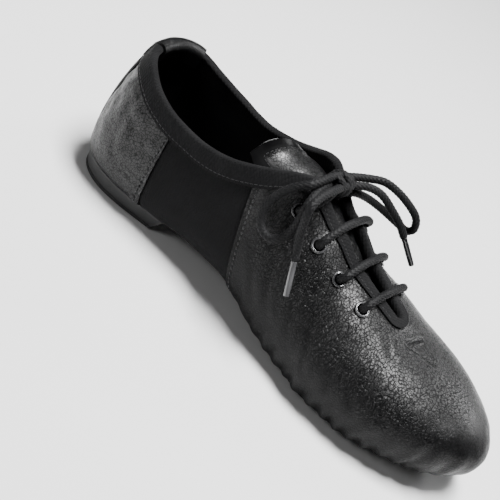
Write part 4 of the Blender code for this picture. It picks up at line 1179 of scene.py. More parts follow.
# %% Heel tab
TAB_REACH = 0.031
STRAP_WIDTH = 0.0156
TAB_LAP = 0.0006
TAB_THICKNESS, TAB_DIP = 0.0010, 0.0003
TAB_NEAR = BINDING_SEAT + BINDING_THICKNESS + GAP
tab_widths = (BINDING_WIDTH + TAB_LAP, BINDING_WIDTH * INNER_SHARE + TAB_LAP)
lateral_run = np.linspace(heel_u(STRAP_WIDTH / 2), 0, 12)
medial_run = np.linspace(0, heel_u(TAB_REACH), 42)[1:]
rings = [wrap_section(u, LATERAL, tab_widths, TAB_NEAR, TAB_THICKNESS, dip=TAB_DIP)
         for u in lateral_run]
rings += [wrap_section(u, MEDIAL, tab_widths, TAB_NEAR, TAB_THICKNESS, dip=TAB_DIP)
          for u in medial_run]
tab = strip("heel_tab_leather", rings)
print("Tab faces:", len(tab.data.polygons))

# %% [markdown]
# ## Back strap
# The strap covers the seam at the heel. Its outer edge is piped, two stitch rows press it down on
# each side, and its edges turn in.

# %% Back strap
STRAP_GAP = 0.0005
STRAP_FOOT = -0.55
STRAP_ROWS = 70
STRAP_THICKNESS = 0.0009
PIPE, PIPE_AT = 0.0007, 0.91  # height, and place as a share of the half width
STRAP_SEAM, STRAP_SEAMS = 0.00022, (0.72, 0.42)
strap_half = heel_u(STRAP_WIDTH / 2)
strap_rows = []
turns = np.concatenate([-np.linspace(strap_half, 0, 13), np.linspace(0, strap_half, 13)[1:]])
for turn_u in turns:
    side = LATERAL if turn_u < 0 else MEDIAL
    u = abs(turn_u)
    top = float(below_rim(u, side, BINDING_WIDTH + TAB_LAP + STRAP_GAP))
    v = np.linspace(STRAP_FOOT, top, STRAP_ROWS)
    p, n = skin(np.full(STRAP_ROWS, u), side, v), outward(np.full(STRAP_ROWS, u), side, v)
    share = abs(turn_u) / strap_half
    pipe = PIPE * math.exp(-((share - PIPE_AT) / 0.07) ** 2) if side == LATERAL else 0.0
    groove = STRAP_SEAM * sum(math.exp(-((share - seam) / 0.05) ** 2) for seam in STRAP_SEAMS)
    groove += 0.0004 * max(0.0, share - 0.94) / 0.06
    strap_rows.append(p + n * (GAP + 0.0010 + pipe - groove))
strap = lay_sheet("back_strap_leather", np.array(strap_rows))
weld(strap, 1e-6)
thicken(strap, STRAP_THICKNESS)
print("Strap faces:", len(strap.data.polygons))

# %% [markdown]
# ## Tongue
# A flat padded piece that lies under the facings, free at the top and sewn in at the vamp. Its free
# end is cut on a slant and bound with a sewn band. Small folds lie between the bars.

# %% Tongue
TONGUE_TOP = 0.084
TONGUE_FRONT = 0.190
TONGUE_WIDTH = 0.040
TONGUE_SKEW = 0.35
TONGUE_THICKNESS = 0.0018
TONGUE_PLAY = 0.0012
TONGUE_SEAT = 0.0005
TONGUE_RISE = 0.010
TONGUE_BAND = 0.0045
BAND_RISE, BAND_DIP = 0.0005, 0.0002
TONGUE_FOLDS = (  # x, y, turn, half width, depth
    (0.121, 0.002, 0.5, 0.0022, 0.0009), (0.131, -0.003, -0.4, 0.0020, 0.0009),
    (0.139, 0.004, 0.6, 0.0020, 0.0008), (0.147, -0.002, -0.5, 0.0018, 0.0008),
    (0.156, 0.003, 0.5, 0.0018, 0.0007), (0.164, -0.001, -0.3, 0.0018, 0.0006),
)
FOLD_LENGTH = 0.008


def tongue_point(s, t):
    """A point of the tongue's top: s runs from its free end to its seat, t across it."""
    start = TONGUE_TOP + TONGUE_SKEW * t * TONGUE_WIDTH / 2
    x = start + s * (TONGUE_FRONT - start)
    y = t * TONGUE_WIDTH / 2 * at(TONGUE, "width", x)
    half = np.where(y < 0, half_width(x, LATERAL), half_width(x, MEDIAL))
    seat = np.clip((x - THROAT_END) / TONGUE_RISE, 0, 1)
    clear = TAPE_LIFT + TONGUE_PLAY
    under = WALL + clear + (TONGUE_SEAT - clear) * seat
    crown = ridge(x) - under - at(TONGUE, "sink", x) * INSTEP_HEIGHT
    power = at(TONGUE, "roundness", x)
    arc = (1 - np.minimum(np.abs(y) / (half - under), 1) ** power) ** (1 / power)
    return np.stack([x, y, widest(x) + (crown - widest(x)) * arc], -1)


def tongue_relief(s, t, p):
    """Soft folds between the bars, and the band sewn round its edge."""
    edge = np.minimum((1 - np.abs(t)) * TONGUE_WIDTH / 2, s * (TONGUE_FRONT - TONGUE_TOP))
    band = BAND_RISE * (1 - soft(edge, TONGUE_BAND - 0.0004, TONGUE_BAND + 0.0002))
    band -= BAND_DIP * np.exp(-((edge - TONGUE_BAND + 0.0012) / 0.0005) ** 2)
    folds = np.zeros(s.shape)
    for x, y, turn, wide, deep in TONGUE_FOLDS:
        away = (p[..., 0] - x) * math.cos(turn) + (p[..., 1] - y) * math.sin(turn)
        along = (p[..., 1] - y) * math.cos(turn) - (p[..., 0] - x) * math.sin(turn)
        folds -= deep * np.exp(-((away / wide) ** 2) - (along / FOLD_LENGTH) ** 2)
    return band + folds

# %% [markdown]
# ## The tongue's sheet
# The tongue is laid in its own rows and columns, because it doesn't follow the last's sections.
# Its relief is added square to the curved sheet.

# %% Tongue sheet
s, t = np.meshgrid(np.linspace(0, 1, 110), np.linspace(-1, 1, 52), indexing="ij")
p = tongue_point(s, t)
small = 1e-3
n = np.cross(tongue_point(s + small, t) - tongue_point(s - small, t),
             tongue_point(s, t + small) - tongue_point(s, t - small))
n = n / np.linalg.norm(n, axis=-1, keepdims=True)
tongue = lay_sheet("tongue_leather", p + n * tongue_relief(s, t, p)[..., None])
weld(tongue, 1e-6)
thicken(tongue, TONGUE_THICKNESS)
print("Tongue faces:", len(tongue.data.polygons))

# %% [markdown]
# ## The bottom
# The sole is split: a thin suede-like forefoot pad and a low rubber heel with a bevelled edge, both
# stuck to the underside. Each plate is a sheet in the last's outline, drawn in by a fixed inset,
# given its thickness and a small bevel where a knife would have trimmed it.

# %% Plates
def feather_edge(side, inset):
    """The feather line drawn in by inset, as x and y in plan."""
    u = np.linspace(0, 3, 301)
    line = skin(u, side, -1)[:, :2]
    run = np.gradient(line, axis=0)
    run = run / np.linalg.norm(run, axis=1, keepdims=True)
    line = line + np.stack([run[:, 1], -run[:, 0]], 1) * side * inset
    keep = np.concatenate([[True], np.diff(line[:, 0]) > 0])
    return line[keep, 0], line[keep, 1]


def plate(name, stations, inset, top, thickness, edge, round_back=0.0, back_flat=0.5):
    """A plate of the last's outline at a height against the underside, its edges bevelled."""
    lateral, medial = feather_edge(LATERAL, inset), feather_edge(MEDIAL, inset)
    low, high = np.interp(stations, *lateral), np.interp(stations, *medial)
    share = np.ones(len(stations))
    if round_back:
        turn = np.clip((stations - stations[0]) / round_back, 0, 1)
        share = back_flat + (1 - back_flat) * np.sqrt(1 - (1 - turn) ** 2)
    t = np.linspace(0, 1, 33)[None]
    y = (low * share)[:, None] * (1 - t) + (high * share)[:, None] * t
    x = np.repeat(stations[:, None], 33, 1)
    piece = lay_sheet(name, np.stack([x, y, underside(x) + top], -1))
    weld(piece)
    if sum(f.normal.z for f in piece.data.polygons) < 0:
        bpy.ops.object.mode_set(mode="EDIT")
        bpy.ops.mesh.select_all(action="SELECT")
        bpy.ops.mesh.flip_normals()
        bpy.ops.object.mode_set(mode="OBJECT")
    wall = piece.modifiers.new("wall", "SOLIDIFY")
    wall.thickness, wall.offset = thickness, -1
    bpy.ops.object.modifier_apply(modifier=wall.name)
    bevel = piece.modifiers.new("edge", "BEVEL")
    bevel.width, bevel.segments, bevel.limit_method = edge, 3, "ANGLE"
    bevel.angle_limit = math.radians(50)
    bpy.ops.object.modifier_apply(modifier=bevel.name)
    bpy.ops.object.shade_smooth_by_angle(angle=math.radians(50))
    return piece


def toe_stations(start, inset, count):
    """x values that crowd together towards the rounded toe."""
    tip = feather_edge(MEDIAL, inset)[0][-1]
    turn = LENGTH - TOE_CURVE
    rounded = turn + (tip - turn) * np.sin(np.linspace(0, math.pi / 2 - 0.05, 40))
    return np.concatenate([np.linspace(start, turn, count + 1)[:-1], rounded])

# %% [markdown]
# ## Sole pad and insole
# Both take the last's outline. The pad is drawn in so that the gathers hide its edge, and its back
# is rounded. The insole lies on the wall's inside.

# %% Sole and insole
SOLE_INSET = 0.003
SOLE_CORNER = 0.012
SOLE_BEVEL = 0.0004
INSOLE_INSET, INSOLE_THICKNESS, INSOLE_BEVEL = 0.0012, 0.0020, 0.0005
corner = SOLE_BACK + SOLE_CORNER * (1 - np.cos(np.linspace(0, math.pi / 2, 12)[:-1]))
sole = plate("sole_pad", np.concatenate([corner, toe_stations(SOLE_BACK + SOLE_CORNER, SOLE_INSET,
                                                              30)]),
             SOLE_INSET, -GAP, SOLE_THICKNESS, SOLE_BEVEL, SOLE_CORNER)
back = feather_edge(MEDIAL, INSOLE_INSET)[0][0]
rounded = back + (HEEL_CURVE - back) * (1 - np.cos(np.linspace(0.06, math.pi / 2, 26)[:-1]))
insole = plate("insole_sock",
               np.concatenate([rounded, toe_stations(HEEL_CURVE, INSOLE_INSET, 60)]),
               INSOLE_INSET, WALL + GAP + INSOLE_THICKNESS, INSOLE_THICKNESS, INSOLE_BEVEL)
print("Plate faces:", len(sole.data.polygons), len(insole.data.polygons))

# %% [markdown]
# ## Heel block
# A low block with a slightly hollow side, a lift line near the ground and rounded edges. It is
# built up from rings, the outline drawn in a little at each height.

# %% Heel block
HEEL_INSET = 0.0006
ring = []
turn = 1 - np.cos(np.linspace(0, 1, 40) * math.pi / 2)
for side in (LATERAL, MEDIAL):
    x, y = feather_edge(side, HEEL_INSET)
    at_x = x[0] + (HEEL_LENGTH - x[0]) * turn
    half = np.stack([at_x, np.interp(at_x, x, y)], 1)
    ring += list(half[::-1] if side == LATERAL else half[1:])
front = np.linspace(ring[-1], ring[0], 24)
ring = np.array([*ring, *front[1:]])
share = (ring[:, 0] - ring[:, 0].min()) / np.ptp(ring[:, 0])
heel_rows = []
for height, inset, lean in (
    (HEEL_HEIGHT, 0.020, 0.015), (HEEL_HEIGHT, 0.006, 0.0), (HEEL_HEIGHT, 0.0006, 0.0),
    (HEEL_HEIGHT - 0.0001, 0.0002, 0.0), (HEEL_HEIGHT - 0.0004, 0.0, 0.0001),
    (0.0080, 0.0001, 0.0009), (0.0056, 0.00035, 0.0022), (0.0032, 0.0006, 0.0035),
    (0.0024, 0.0007, 0.0040), (0.0022, 0.0010, 0.0042), (0.0020, 0.0007, 0.0042),
    (0.0006, 0.0008, 0.0050), (0.0002, 0.0011, 0.0052), (0.0, 0.0016, 0.0056),
    (0.0, 0.008, 0.010), (0.0, 0.022, 0.022),
):
    x = ring[:, 0] + inset * (1 - share) - lean * share
    y = ring[:, 1] * (1 - inset / (HEEL_WIDTH / 2))
    heel_rows.append(np.stack([x, y, np.full(len(x), height)], 1))
centre = ring.mean(0)
heel_rows.insert(0, np.tile([*centre, HEEL_HEIGHT], (len(ring), 1)))
heel_rows.append(np.tile([*centre, 0.0], (len(ring), 1)))
heel = lay_sheet("heel_rubber", np.array(heel_rows), wrap=True)
bpy.ops.object.shade_smooth_by_angle(angle=math.radians(40))
print("Heel faces:", len(heel.data.polygons))

# %% [markdown]
# ## Eyelets
# A lace eyelet is pressed from sheet metal: a domed black flange outside, a barrel through the
# leather and a rim that curls over inside. Insets of a cylinder can't give that rolled section, so
# one ring is turned from its profile, its worn mouth from a second, and eight copies of each are
# set square to the leather.

# %% Eyelets
FLANGE = (
    (0.00262, 0.00070), (0.00268, 0.00100), (0.00288, 0.00112), (0.00304, 0.00110),
    (0.00318, 0.00120), (0.00344, 0.00116), (0.00368, 0.00096), (0.00380, 0.00074),
    (0.00378, 0.00050), (0.00300, 0.00055), (0.00290, -0.00260), (0.00262, -0.00280),
)
MOUTH = (
    (0.00240, 0.00060), (0.00246, 0.00092), (0.00262, 0.00112), (0.00284, 0.00124),
    (0.00300, 0.00126), (0.00312, 0.00118), (0.00300, 0.00106), (0.00270, 0.00090),
    (0.00258, 0.00060), (0.00258, -0.00260),
    (0.00350, -0.00272), (0.00352, -0.00300), (0.00270, -0.00305), (0.00244, -0.00285),
)
flange_model = lathe("flange", [*FLANGE, FLANGE[0]], 48)
mouth_model = lathe("mouth", [*MOUTH, MOUTH[0]], 48)
flanges, mouths = {}, {}
for side, name in ((LATERAL, "lateral"), (MEDIAL, "medial")):
    for i in range(EYELETS):
        centre, normal = eyelet_place(side, i)
        turn = normal.to_track_quat("Z", "Y").to_matrix().to_4x4()
        place = Matrix.Translation(centre + Vector(SHIFT)) @ turn
        for model, kept in ((flange_model, flanges), (mouth_model, mouths)):
            copy = own_copy(model)
            copy.data.transform(place)
            kept[f"{name}_{i + 1}"] = copy
            copy.name = copy.data.name = f"{model.name}_{name}_{i + 1}"
for model in (flange_model, mouth_model):
    bpy.data.objects.remove(model)
print("Eyelets:", len(flanges))

# %% [markdown]
# ## Stitches
# Every seam shows a row of single stitches. One stitch is a small sphere drawn out to a grain of
# rice; it is copied along a line on the last at the machine's pitch, and each row becomes one
# mesh. The rows lie where a presser foot would put them, a fixed distance from the edge.

# %% Stitch maker
bpy.ops.mesh.primitive_uv_sphere_add(segments=8, ring_count=6, radius=0.5)
grain = bpy.context.object
grain.name = "stitch_model"
bpy.ops.object.mode_set(mode="EDIT")
bpy.ops.mesh.select_all(action="SELECT")
bpy.ops.transform.resize(value=(1.0, 0.42, 0.34))
bpy.ops.object.mode_set(mode="OBJECT")
stitch_rows = []
STITCH_SEARCH = 0.0004  # how far above the line the nearest face is looked for
STITCH_MISS = 0.0025  # farther off than this, a stitch is left out
STITCH_LAP = 1.08  # share of its own length that a stitch covers
STITCH_STOUT = 2.2  # makes up for the model's slimness


def stitch_row(name, points, normals, onto, pitch=0.0021, thick=0.00055, fill=0.72, lift=0.0):
    """Copies of the stitch along a line, each laid on the piece's face, one mesh for the row."""
    points, normals = np.asarray(points), np.asarray(normals)
    run = np.concatenate([[0], np.cumsum(np.linalg.norm(np.diff(points, axis=0), axis=1))])
    places = np.arange(pitch / 2, run[-1], pitch)
    copies = []
    for d in places:
        a, b = (np.array([np.interp(d + e, run, points[:, k]) for k in range(3)])
                for e in (-pitch / 2 * fill, pitch / 2 * fill))
        n = Vector([np.interp(d, run, normals[:, k]) for k in range(3)]).normalized()
        way = Vector(b - a)
        long = way.length
        if long < 1e-5:
            continue
        way.normalize()
        middle = Vector((a + b) / 2 + SHIFT)
        found, spot, face_n, _ = onto.closest_point_on_mesh(middle + n * STITCH_SEARCH)
        if not found or (spot - middle).length > STITCH_MISS:
            continue
        n = face_n if face_n.dot(n) > 0.3 else n
        side_way = n.cross(way).normalized()
        n = way.cross(side_way)
        turn = Matrix((way * long * STITCH_LAP, side_way * thick * STITCH_STOUT,
                       n * thick * STITCH_STOUT)).transposed()
        copy = own_copy(grain)
        copy.data.transform(Matrix.Translation(spot + n * lift) @ turn.to_4x4())
        copies.append(copy)
    row = join(name, copies)
    bpy.ops.object.shade_smooth()
    stitch_rows.append(row)
    return row


def last_line(us, side, vs, lift):
    """A line on the last, lifted off it, and its normals."""
    us, vs = np.broadcast_arrays(np.asarray(us, float), np.asarray(vs, float))
    n = outward(us, side, vs)
    return skin(us, side, vs) + n * lift, n

# %% [markdown]
# ## Rows on tape and seams
# The tape has one fine row all round. The leather seams have a thicker thread beside the cut edge.

# %% Tape and seam rows
for side, name in ((LATERAL, "lateral"), (MEDIAL, "medial")):
    us = rim_run[rim_run > (0 if side < 0 else heel_u(TAB_REACH) + 0.02)]
    vs = [float(below_rim(u, side, max(binding_width(u, side) - TAPE_STITCH, 0.001))) for u in us]
    stitch_row(f"stitches_tape_{name}", *last_line(us, side, vs, 0.00112), tape, pitch=0.0023,
               thick=0.00036)
    for seam, away, label in ((VAMP_SEAM, 0.0022, "vamp"), (COUNTER_SEAM, -0.0022, "counter")):
        u = float(body_u(seam + away))
        top = float(below_rim(u, side, binding_width(u, side) + 0.0006))
        vs = np.linspace(-0.92, top, 80)
        p, n = last_line(u, side, vs, 0.0)
        leather = vamp if label == "vamp" else counter
        stitch_row(f"stitches_{label}_{name}", p, n, leather, pitch=0.0027, thick=0.00090,
                   fill=0.60, lift=0.00028)

# %% [markdown]
# ## Rows on strap and tab
# Four rows run down the strap. The tab has two close rows at its end and one along its edge.

# %% Strap and tab rows
for share, side, label in ((0.72, LATERAL, "a"), (0.42, LATERAL, "b"), (0.72, MEDIAL, "c"),
                           (0.42, MEDIAL, "d")):
    u = strap_half * share
    top = float(below_rim(u, side, BINDING_WIDTH + TAB_LAP + STRAP_GAP + 0.001))
    vs = np.linspace(STRAP_FOOT + 0.04, top, 60)
    stitch_row(f"stitches_strap_{label}", *last_line(u, side, vs, GAP + 0.0009), strap,
               pitch=0.0022, thick=0.00040)
for inset, label in ((0.0016, "a"), (0.0044, "b")):
    u = heel_u(TAB_REACH - inset)
    vs = [float(below_rim(u, MEDIAL, d)) for d in np.linspace(0.0005, tab_widths[0] - 0.0006, 12)]
    stitch_row(f"stitches_tab_{label}", *last_line(u, MEDIAL, vs, TAB_NEAR + 0.0010), tab,
               pitch=0.0021, thick=0.00040)
us = np.concatenate([-np.linspace(strap_half, 0, 14), np.linspace(0, heel_u(TAB_REACH), 40)[1:]])
low_points, low_normals = [], []
for turn_u in us:
    side = LATERAL if turn_u < 0 else MEDIAL
    v = float(below_rim(abs(turn_u), side, tab_widths[0] - TAPE_STITCH))
    p, n = last_line(abs(turn_u), side, v, TAB_NEAR + 0.0008)
    low_points.append(p)
    low_normals.append(n)
stitch_row("stitches_tab_low", low_points, low_normals, tab, pitch=0.0022, thick=0.00040)

# %% [markdown]
# ## Triangle and tongue
# A small triangle is sewn on the vamp below the throat. The tongue's band is sewn all round. Then
# all rows become one mesh.

# %% Triangle and tongue rows
line, normals = [], []
for (ax, ay), (bx, by) in zip(TRIANGLE, TRIANGLE[1:]):
    for t in np.linspace(0, 1, 14, endpoint=False):
        x, y = ax + (bx - ax) * t, ay + (by - ay) * t
        side = LATERAL if y < 0 else MEDIAL
        line.append((x, y, float(roof(x, y, side))))
        normals.append(tuple(roof_normal(x, y, side)))
line.append(line[0])
normals.append(normals[0])
stitch_row("stitches_triangle", line, normals, vamp, pitch=0.0019, thick=0.00060, lift=0.00016)

edge_s = np.concatenate([np.linspace(0.62, 0.035, 60), np.full(40, 0.035),
                         np.linspace(0.035, 0.62, 60)])
edge_t = np.concatenate([np.full(60, -0.83), np.linspace(-0.83, 0.83, 40), np.full(60, 0.83)])
p = tongue_point(edge_s, edge_t)
up_run = np.cross(tongue_point(edge_s + small, edge_t) - tongue_point(edge_s - small, edge_t),
                  tongue_point(edge_s, edge_t + small) - tongue_point(edge_s, edge_t - small))
up_run /= np.linalg.norm(up_run, axis=1, keepdims=True)
stitch_row("stitches_tongue", p + up_run * 0.0003, up_run, tongue, pitch=0.0023, thick=0.00036)
bpy.data.objects.remove(grain)
stitches = join("stitches", stitch_rows)
print("Stitch faces:", len(stitches.data.polygons))

# %% [markdown]
# ## Finishes
# Black on black: the shoe is told apart by gloss and texture alone. Leather has pebbled grain with
# a soft shine on its high spots, the tape and the stretch fabric scatter light and look matte, the
# rubber is dull. What several finishes share is made once as a node group with named sockets: grain
# cells, drawn-out wrinkles, a weave and a slow unevenness.

# %% Node groups
def new_group(name, inputs, outputs):
    """An empty node group with named sockets."""
    tree = bpy.data.node_groups.new(name, "ShaderNodeTree")
    for label, kind, value in inputs:
        socket = tree.interface.new_socket(label, in_out="INPUT", socket_type=kind)
        if value is not None:
            socket.default_value = value
    for label, kind in outputs:
        tree.interface.new_socket(label, in_out="OUTPUT", socket_type=kind)
    return tree, tree.nodes.new("NodeGroupInput"), tree.nodes.new("NodeGroupOutput")


def math_node(tree, operation, a, b=None, clamp=False):
    """A calculation on sockets or numbers."""
    node = tree.nodes.new("ShaderNodeMath")
    node.operation, node.use_clamp = operation, clamp
    for socket, value in zip(node.inputs, (a, b)):
        if value is None:
            continue
        if isinstance(value, (int, float)):
            socket.default_value = value
        else:
            tree.links.new(value, socket)
    return node.outputs[0]


def ramp_node(tree, value, low, high):
    """A smooth step from low to high."""
    node = tree.nodes.new("ShaderNodeMapRange")
    node.interpolation_type = "SMOOTHSTEP"
    node.inputs["From Min"].default_value = low
    node.inputs["From Max"].default_value = high
    tree.links.new(value, node.inputs["Value"])
    return node.outputs["Result"]


def stretched(tree, vector, turn, scale):
    node = tree.nodes.new("ShaderNodeMapping")
    node.inputs["Rotation"].default_value = turn
    node.inputs["Scale"].default_value = scale
    tree.links.new(vector, node.inputs["Vector"])
    return node.outputs["Vector"]


def noise_node(tree, vector, scale, detail=2.0):
    node = tree.nodes.new("ShaderNodeTexNoise")
    node.inputs["Scale"].default_value = scale
    node.inputs["Detail"].default_value = detail
    tree.links.new(vector, node.inputs["Vector"])
    return node.outputs["Fac"]


def cells_node(tree, vector, scale, spread=1.0):
    node = tree.nodes.new("ShaderNodeTexVoronoi")
    node.feature = "DISTANCE_TO_EDGE"
    node.inputs["Scale"].default_value = scale
    node.inputs["Randomness"].default_value = spread
    tree.links.new(vector, node.inputs["Vector"])
    return node.outputs["Distance"]


def warped(tree, vector, scale, amount):
    """The vector pushed about by noise, so that cells lose their straight sides."""
    node = tree.nodes.new("ShaderNodeTexNoise")
    node.inputs["Scale"].default_value = scale
    node.inputs["Detail"].default_value = 1.0
    tree.links.new(vector, node.inputs["Vector"])
    low = tree.nodes.new("ShaderNodeVectorMath")
    low.operation = "SUBTRACT"
    low.inputs[1].default_value = (0.5, 0.5, 0.5)
    tree.links.new(node.outputs["Color"], low.inputs[0])
    much = tree.nodes.new("ShaderNodeVectorMath")
    much.operation = "SCALE"
    much.inputs["Scale"].default_value = amount
    tree.links.new(low.outputs[0], much.inputs[0])
    total = tree.nodes.new("ShaderNodeVectorMath")
    total.operation = "ADD"
    tree.links.new(vector, total.inputs[0])
    tree.links.new(much.outputs[0], total.inputs[1])
    return total.outputs[0]

# %% [markdown]
# ## Leather grain
# Pebbled grain is a net of cells with narrow cracks, pushed about so that no side is straight.
# Drawn wrinkles are the same net stretched along the pull. Each gives a height and a mask of its
# cracks, where shade is painted: the leather's coat is kept out of them so that they read dark.

# %% Leather grain
pebble, inp, out = new_group(
    "pebbled_grain",
    (("Vector", "NodeSocketVector", None), ("Amount", "NodeSocketFloat", 1.0)),
    (("Height", "NodeSocketFloat"), ("Crack Shade", "NodeSocketFloat")),
)
moved = warped(pebble, inp.outputs["Vector"], 450, 0.0011)
large = ramp_node(pebble, cells_node(pebble, moved, 640), 0.02, 0.17)
tiny = ramp_node(pebble, cells_node(pebble, moved, 1800), 0.0, 0.30)
both = math_node(pebble, "ADD", math_node(pebble, "MULTIPLY", large, 0.8),
                 math_node(pebble, "MULTIPLY", tiny, 0.2))
pebble.links.new(math_node(pebble, "MULTIPLY", both, inp.outputs["Amount"]), out.inputs["Height"])
# Painted shade in the cracks: this mask takes the coat out of them.
dark = math_node(pebble, "SUBTRACT", 1.0, large)
pebble.links.new(math_node(pebble, "MULTIPLY", dark, inp.outputs["Amount"]), out.inputs["Crack Shade"])

wrinkle, inp, out = new_group(
    "drawn_wrinkles",
    (("Vector", "NodeSocketVector", None), ("Amount", "NodeSocketFloat", 1.0)),
    (("Height", "NodeSocketFloat"), ("Crack Shade", "NodeSocketFloat")),
)
moved = warped(wrinkle, inp.outputs["Vector"], 240, 0.0026)
drawn = stretched(wrinkle, moved, (0.0, 0.0, 0.45), (1.0, 0.50, 0.55))
first = ramp_node(wrinkle, cells_node(wrinkle, drawn, 760), 0.0, 0.34)
wrinkle.links.new(math_node(wrinkle, "MULTIPLY", first, inp.outputs["Amount"]),
                  out.inputs["Height"])
# Painted shade in the wrinkles' cracks: this mask takes the coat out of them.
dark = math_node(wrinkle, "SUBTRACT", 1.0, ramp_node(wrinkle, cells_node(wrinkle, drawn, 760),
                                                    0.0, 0.2))
wrinkle.links.new(math_node(wrinkle, "MULTIPLY", dark, inp.outputs["Amount"]),
                  out.inputs["Crack Shade"])

# %% [markdown]
# ## Weave and unevenness
# Three crossed waves make threads on any face. The unevenness is slow noise, by which colour and
# roughness of every finish vary.

# %% Weave and unevenness
weave, inp, out = new_group(
    "woven_threads",
    (("Vector", "NodeSocketVector", None), ("Scale", "NodeSocketFloat", 1.0)),
    (("Height", "NodeSocketFloat"),),
)
scaled = weave.nodes.new("ShaderNodeVectorMath")
scaled.operation = "SCALE"
weave.links.new(inp.outputs["Vector"], scaled.inputs[0])
weave.links.new(inp.outputs["Scale"], scaled.inputs["Scale"])
threads = []
for turn in ((0.0, 0.0, 0.78), (0.0, 0.78, 0.0), (0.78, 0.0, 0.0)):
    wave = weave.nodes.new("ShaderNodeTexWave")
    wave.inputs["Scale"].default_value = 1.0
    wave.inputs["Distortion"].default_value = 0.6
    wave.inputs["Detail"].default_value = 1.0
    weave.links.new(stretched(weave, scaled.outputs[0], turn, (1, 1, 1)), wave.inputs["Vector"])
    threads.append(wave.outputs["Fac"])
total = math_node(weave, "ADD", math_node(weave, "ADD", threads[0], threads[1]), threads[2])
weave.links.new(math_node(weave, "MULTIPLY", total, 0.33), out.inputs["Height"])

uneven, inp, out = new_group(
    "slow_unevenness",
    (("Vector", "NodeSocketVector", None),),
    (("Mask", "NodeSocketFloat"), ("Dust", "NodeSocketFloat")),
)
uneven.links.new(ramp_node(uneven, noise_node(uneven, inp.outputs["Vector"], 70, 3.0), 0.35, 0.65),
                 out.inputs["Mask"])
uneven.links.new(ramp_node(uneven, noise_node(uneven, inp.outputs["Vector"], 900, 4.0), 0.62, 0.75),
                 out.inputs["Dust"])


# %% [markdown]
# ## A finish
# Every finish starts the same: a dark and a light colour and two roughnesses mixed by the slow
# unevenness, then a bump. Helpers place a node group and read a vertex attribute.

# %% Materials
def finish_of(name, dark, light, rough_low, rough_high, coat=0.0, coat_rough=0.3, sheen=0.0,
              metallic=0.0):
    """A shader with an uneven colour and roughness; returns what its bump needs."""
    look = bpy.data.materials.new(name)
    look.use_nodes = True
    tree = look.node_tree
    shader = tree.nodes["Principled BSDF"]
    place = tree.nodes.new("ShaderNodeTexCoord").outputs["Object"]
    slow = tree.nodes.new("ShaderNodeGroup")
    slow.node_tree = uneven
    tree.links.new(place, slow.inputs["Vector"])
    mix = tree.nodes.new("ShaderNodeMix")
    mix.data_type = "RGBA"
    mix.inputs["A"].default_value = (*dark, 1)
    mix.inputs["B"].default_value = (*light, 1)
    tree.links.new(slow.outputs["Mask"], mix.inputs["Factor"])
    tree.links.new(mix.outputs["Result"], shader.inputs["Base Color"])
    rough = tree.nodes.new("ShaderNodeMapRange")
    rough.inputs["To Min"].default_value = rough_low
    rough.inputs["To Max"].default_value = rough_high
    tree.links.new(slow.outputs["Mask"], rough.inputs["Value"])
    tree.links.new(rough.outputs["Result"], shader.inputs["Roughness"])
    shader.inputs["Metallic"].default_value = metallic
    shader.inputs["Coat Weight"].default_value = coat
    shader.inputs["Coat Roughness"].default_value = coat_rough
    shader.inputs["Sheen Weight"].default_value = sheen
    return look, tree, shader, place


def bump_to(tree, shader, height, distance):
    """Raise a shader's surface by a height."""
    bump = tree.nodes.new("ShaderNodeBump")
    bump.inputs["Distance"].default_value = distance
    bump.inputs["Strength"].default_value = 1.0
    tree.links.new(height, bump.inputs["Height"])
    tree.links.new(bump.outputs["Normal"], shader.inputs["Normal"])


def use_group(tree, group, vector, **values):
    """A shared group placed in a material, with this material's own values."""
    node = tree.nodes.new("ShaderNodeGroup")
    node.node_tree = group
    tree.links.new(vector, node.inputs["Vector"])
    for label, value in values.items():
        if isinstance(value, (int, float)):
            node.inputs[label].default_value = value
        else:
            tree.links.new(value, node.inputs[label])
    return node


def attribute(tree, name):
    node = tree.nodes.new("ShaderNodeAttribute")
    node.attribute_name = name
    return node.outputs["Fac"]

# %% [markdown]
# ## Leather finishes
# Nearly black, with a soft clear coat that is left out of the cracks as a painted shade there. The
# bump raises the grain. Where the leather is marked matte, as on the tongue's band, and where shade
# is painted on the low sides, the coat is left off too.

# %% Leather
def leather_look(name, rough_low, rough_high, coat, grain_depth):
    look, tree, shader, place = finish_of(
        name, (0.0015, 0.0015, 0.0017), (0.0035, 0.0035, 0.0037), 0.34, 0.42)
    shader.inputs["Specular IOR Level"].default_value = 0.12
    cells = use_group(tree, pebble, place, Amount=attribute(tree, "pebbled"))
    drawn = use_group(tree, wrinkle, place, Amount=attribute(tree, "wrinkled"))
    pores = math_node(tree, "MULTIPLY", noise_node(tree, place, 2300, 2.0), 0.10)
    height = math_node(tree, "ADD", math_node(tree, "ADD", cells.outputs["Height"],
                                              math_node(tree, "MULTIPLY",
                                                        drawn.outputs["Height"], 1.25)), pores)
    bump_to(tree, shader, height, grain_depth)
    # Painted shade: the coat weight drops in the cracks and on the low sides; the tongue's band is
    # matte.
    shade_and_matte = math_node(tree, "ADD", cells.outputs["Crack Shade"], drawn.outputs["Crack Shade"], clamp=True)
    shade_and_matte = math_node(tree, "ADD", shade_and_matte, attribute(tree, "matte"), clamp=True)
    coat_less_shade = math_node(tree, "SUBTRACT", 1.0, math_node(tree, "MULTIPLY", shade_and_matte, 0.97))
    coat_less_shade = math_node(tree, "MULTIPLY", coat_less_shade, coat)
    tree.links.new(coat_less_shade, shader.inputs["Coat Weight"])
    shader.inputs["Coat Roughness"].default_value = (rough_low + rough_high) / 2
    return look


black_leather = leather_look("black_leather", 0.36, 0.44, 0.80, 0.00026)
strap_leather = leather_look("strap_leather", 0.38, 0.46, 0.45, 0.00018)

# %% [markdown]
# ## Cloth finishes
# Tape, stretch fabric, lining, braid and thread are one recipe with their own scale of weave,
# roughness and a trace of fuzz.

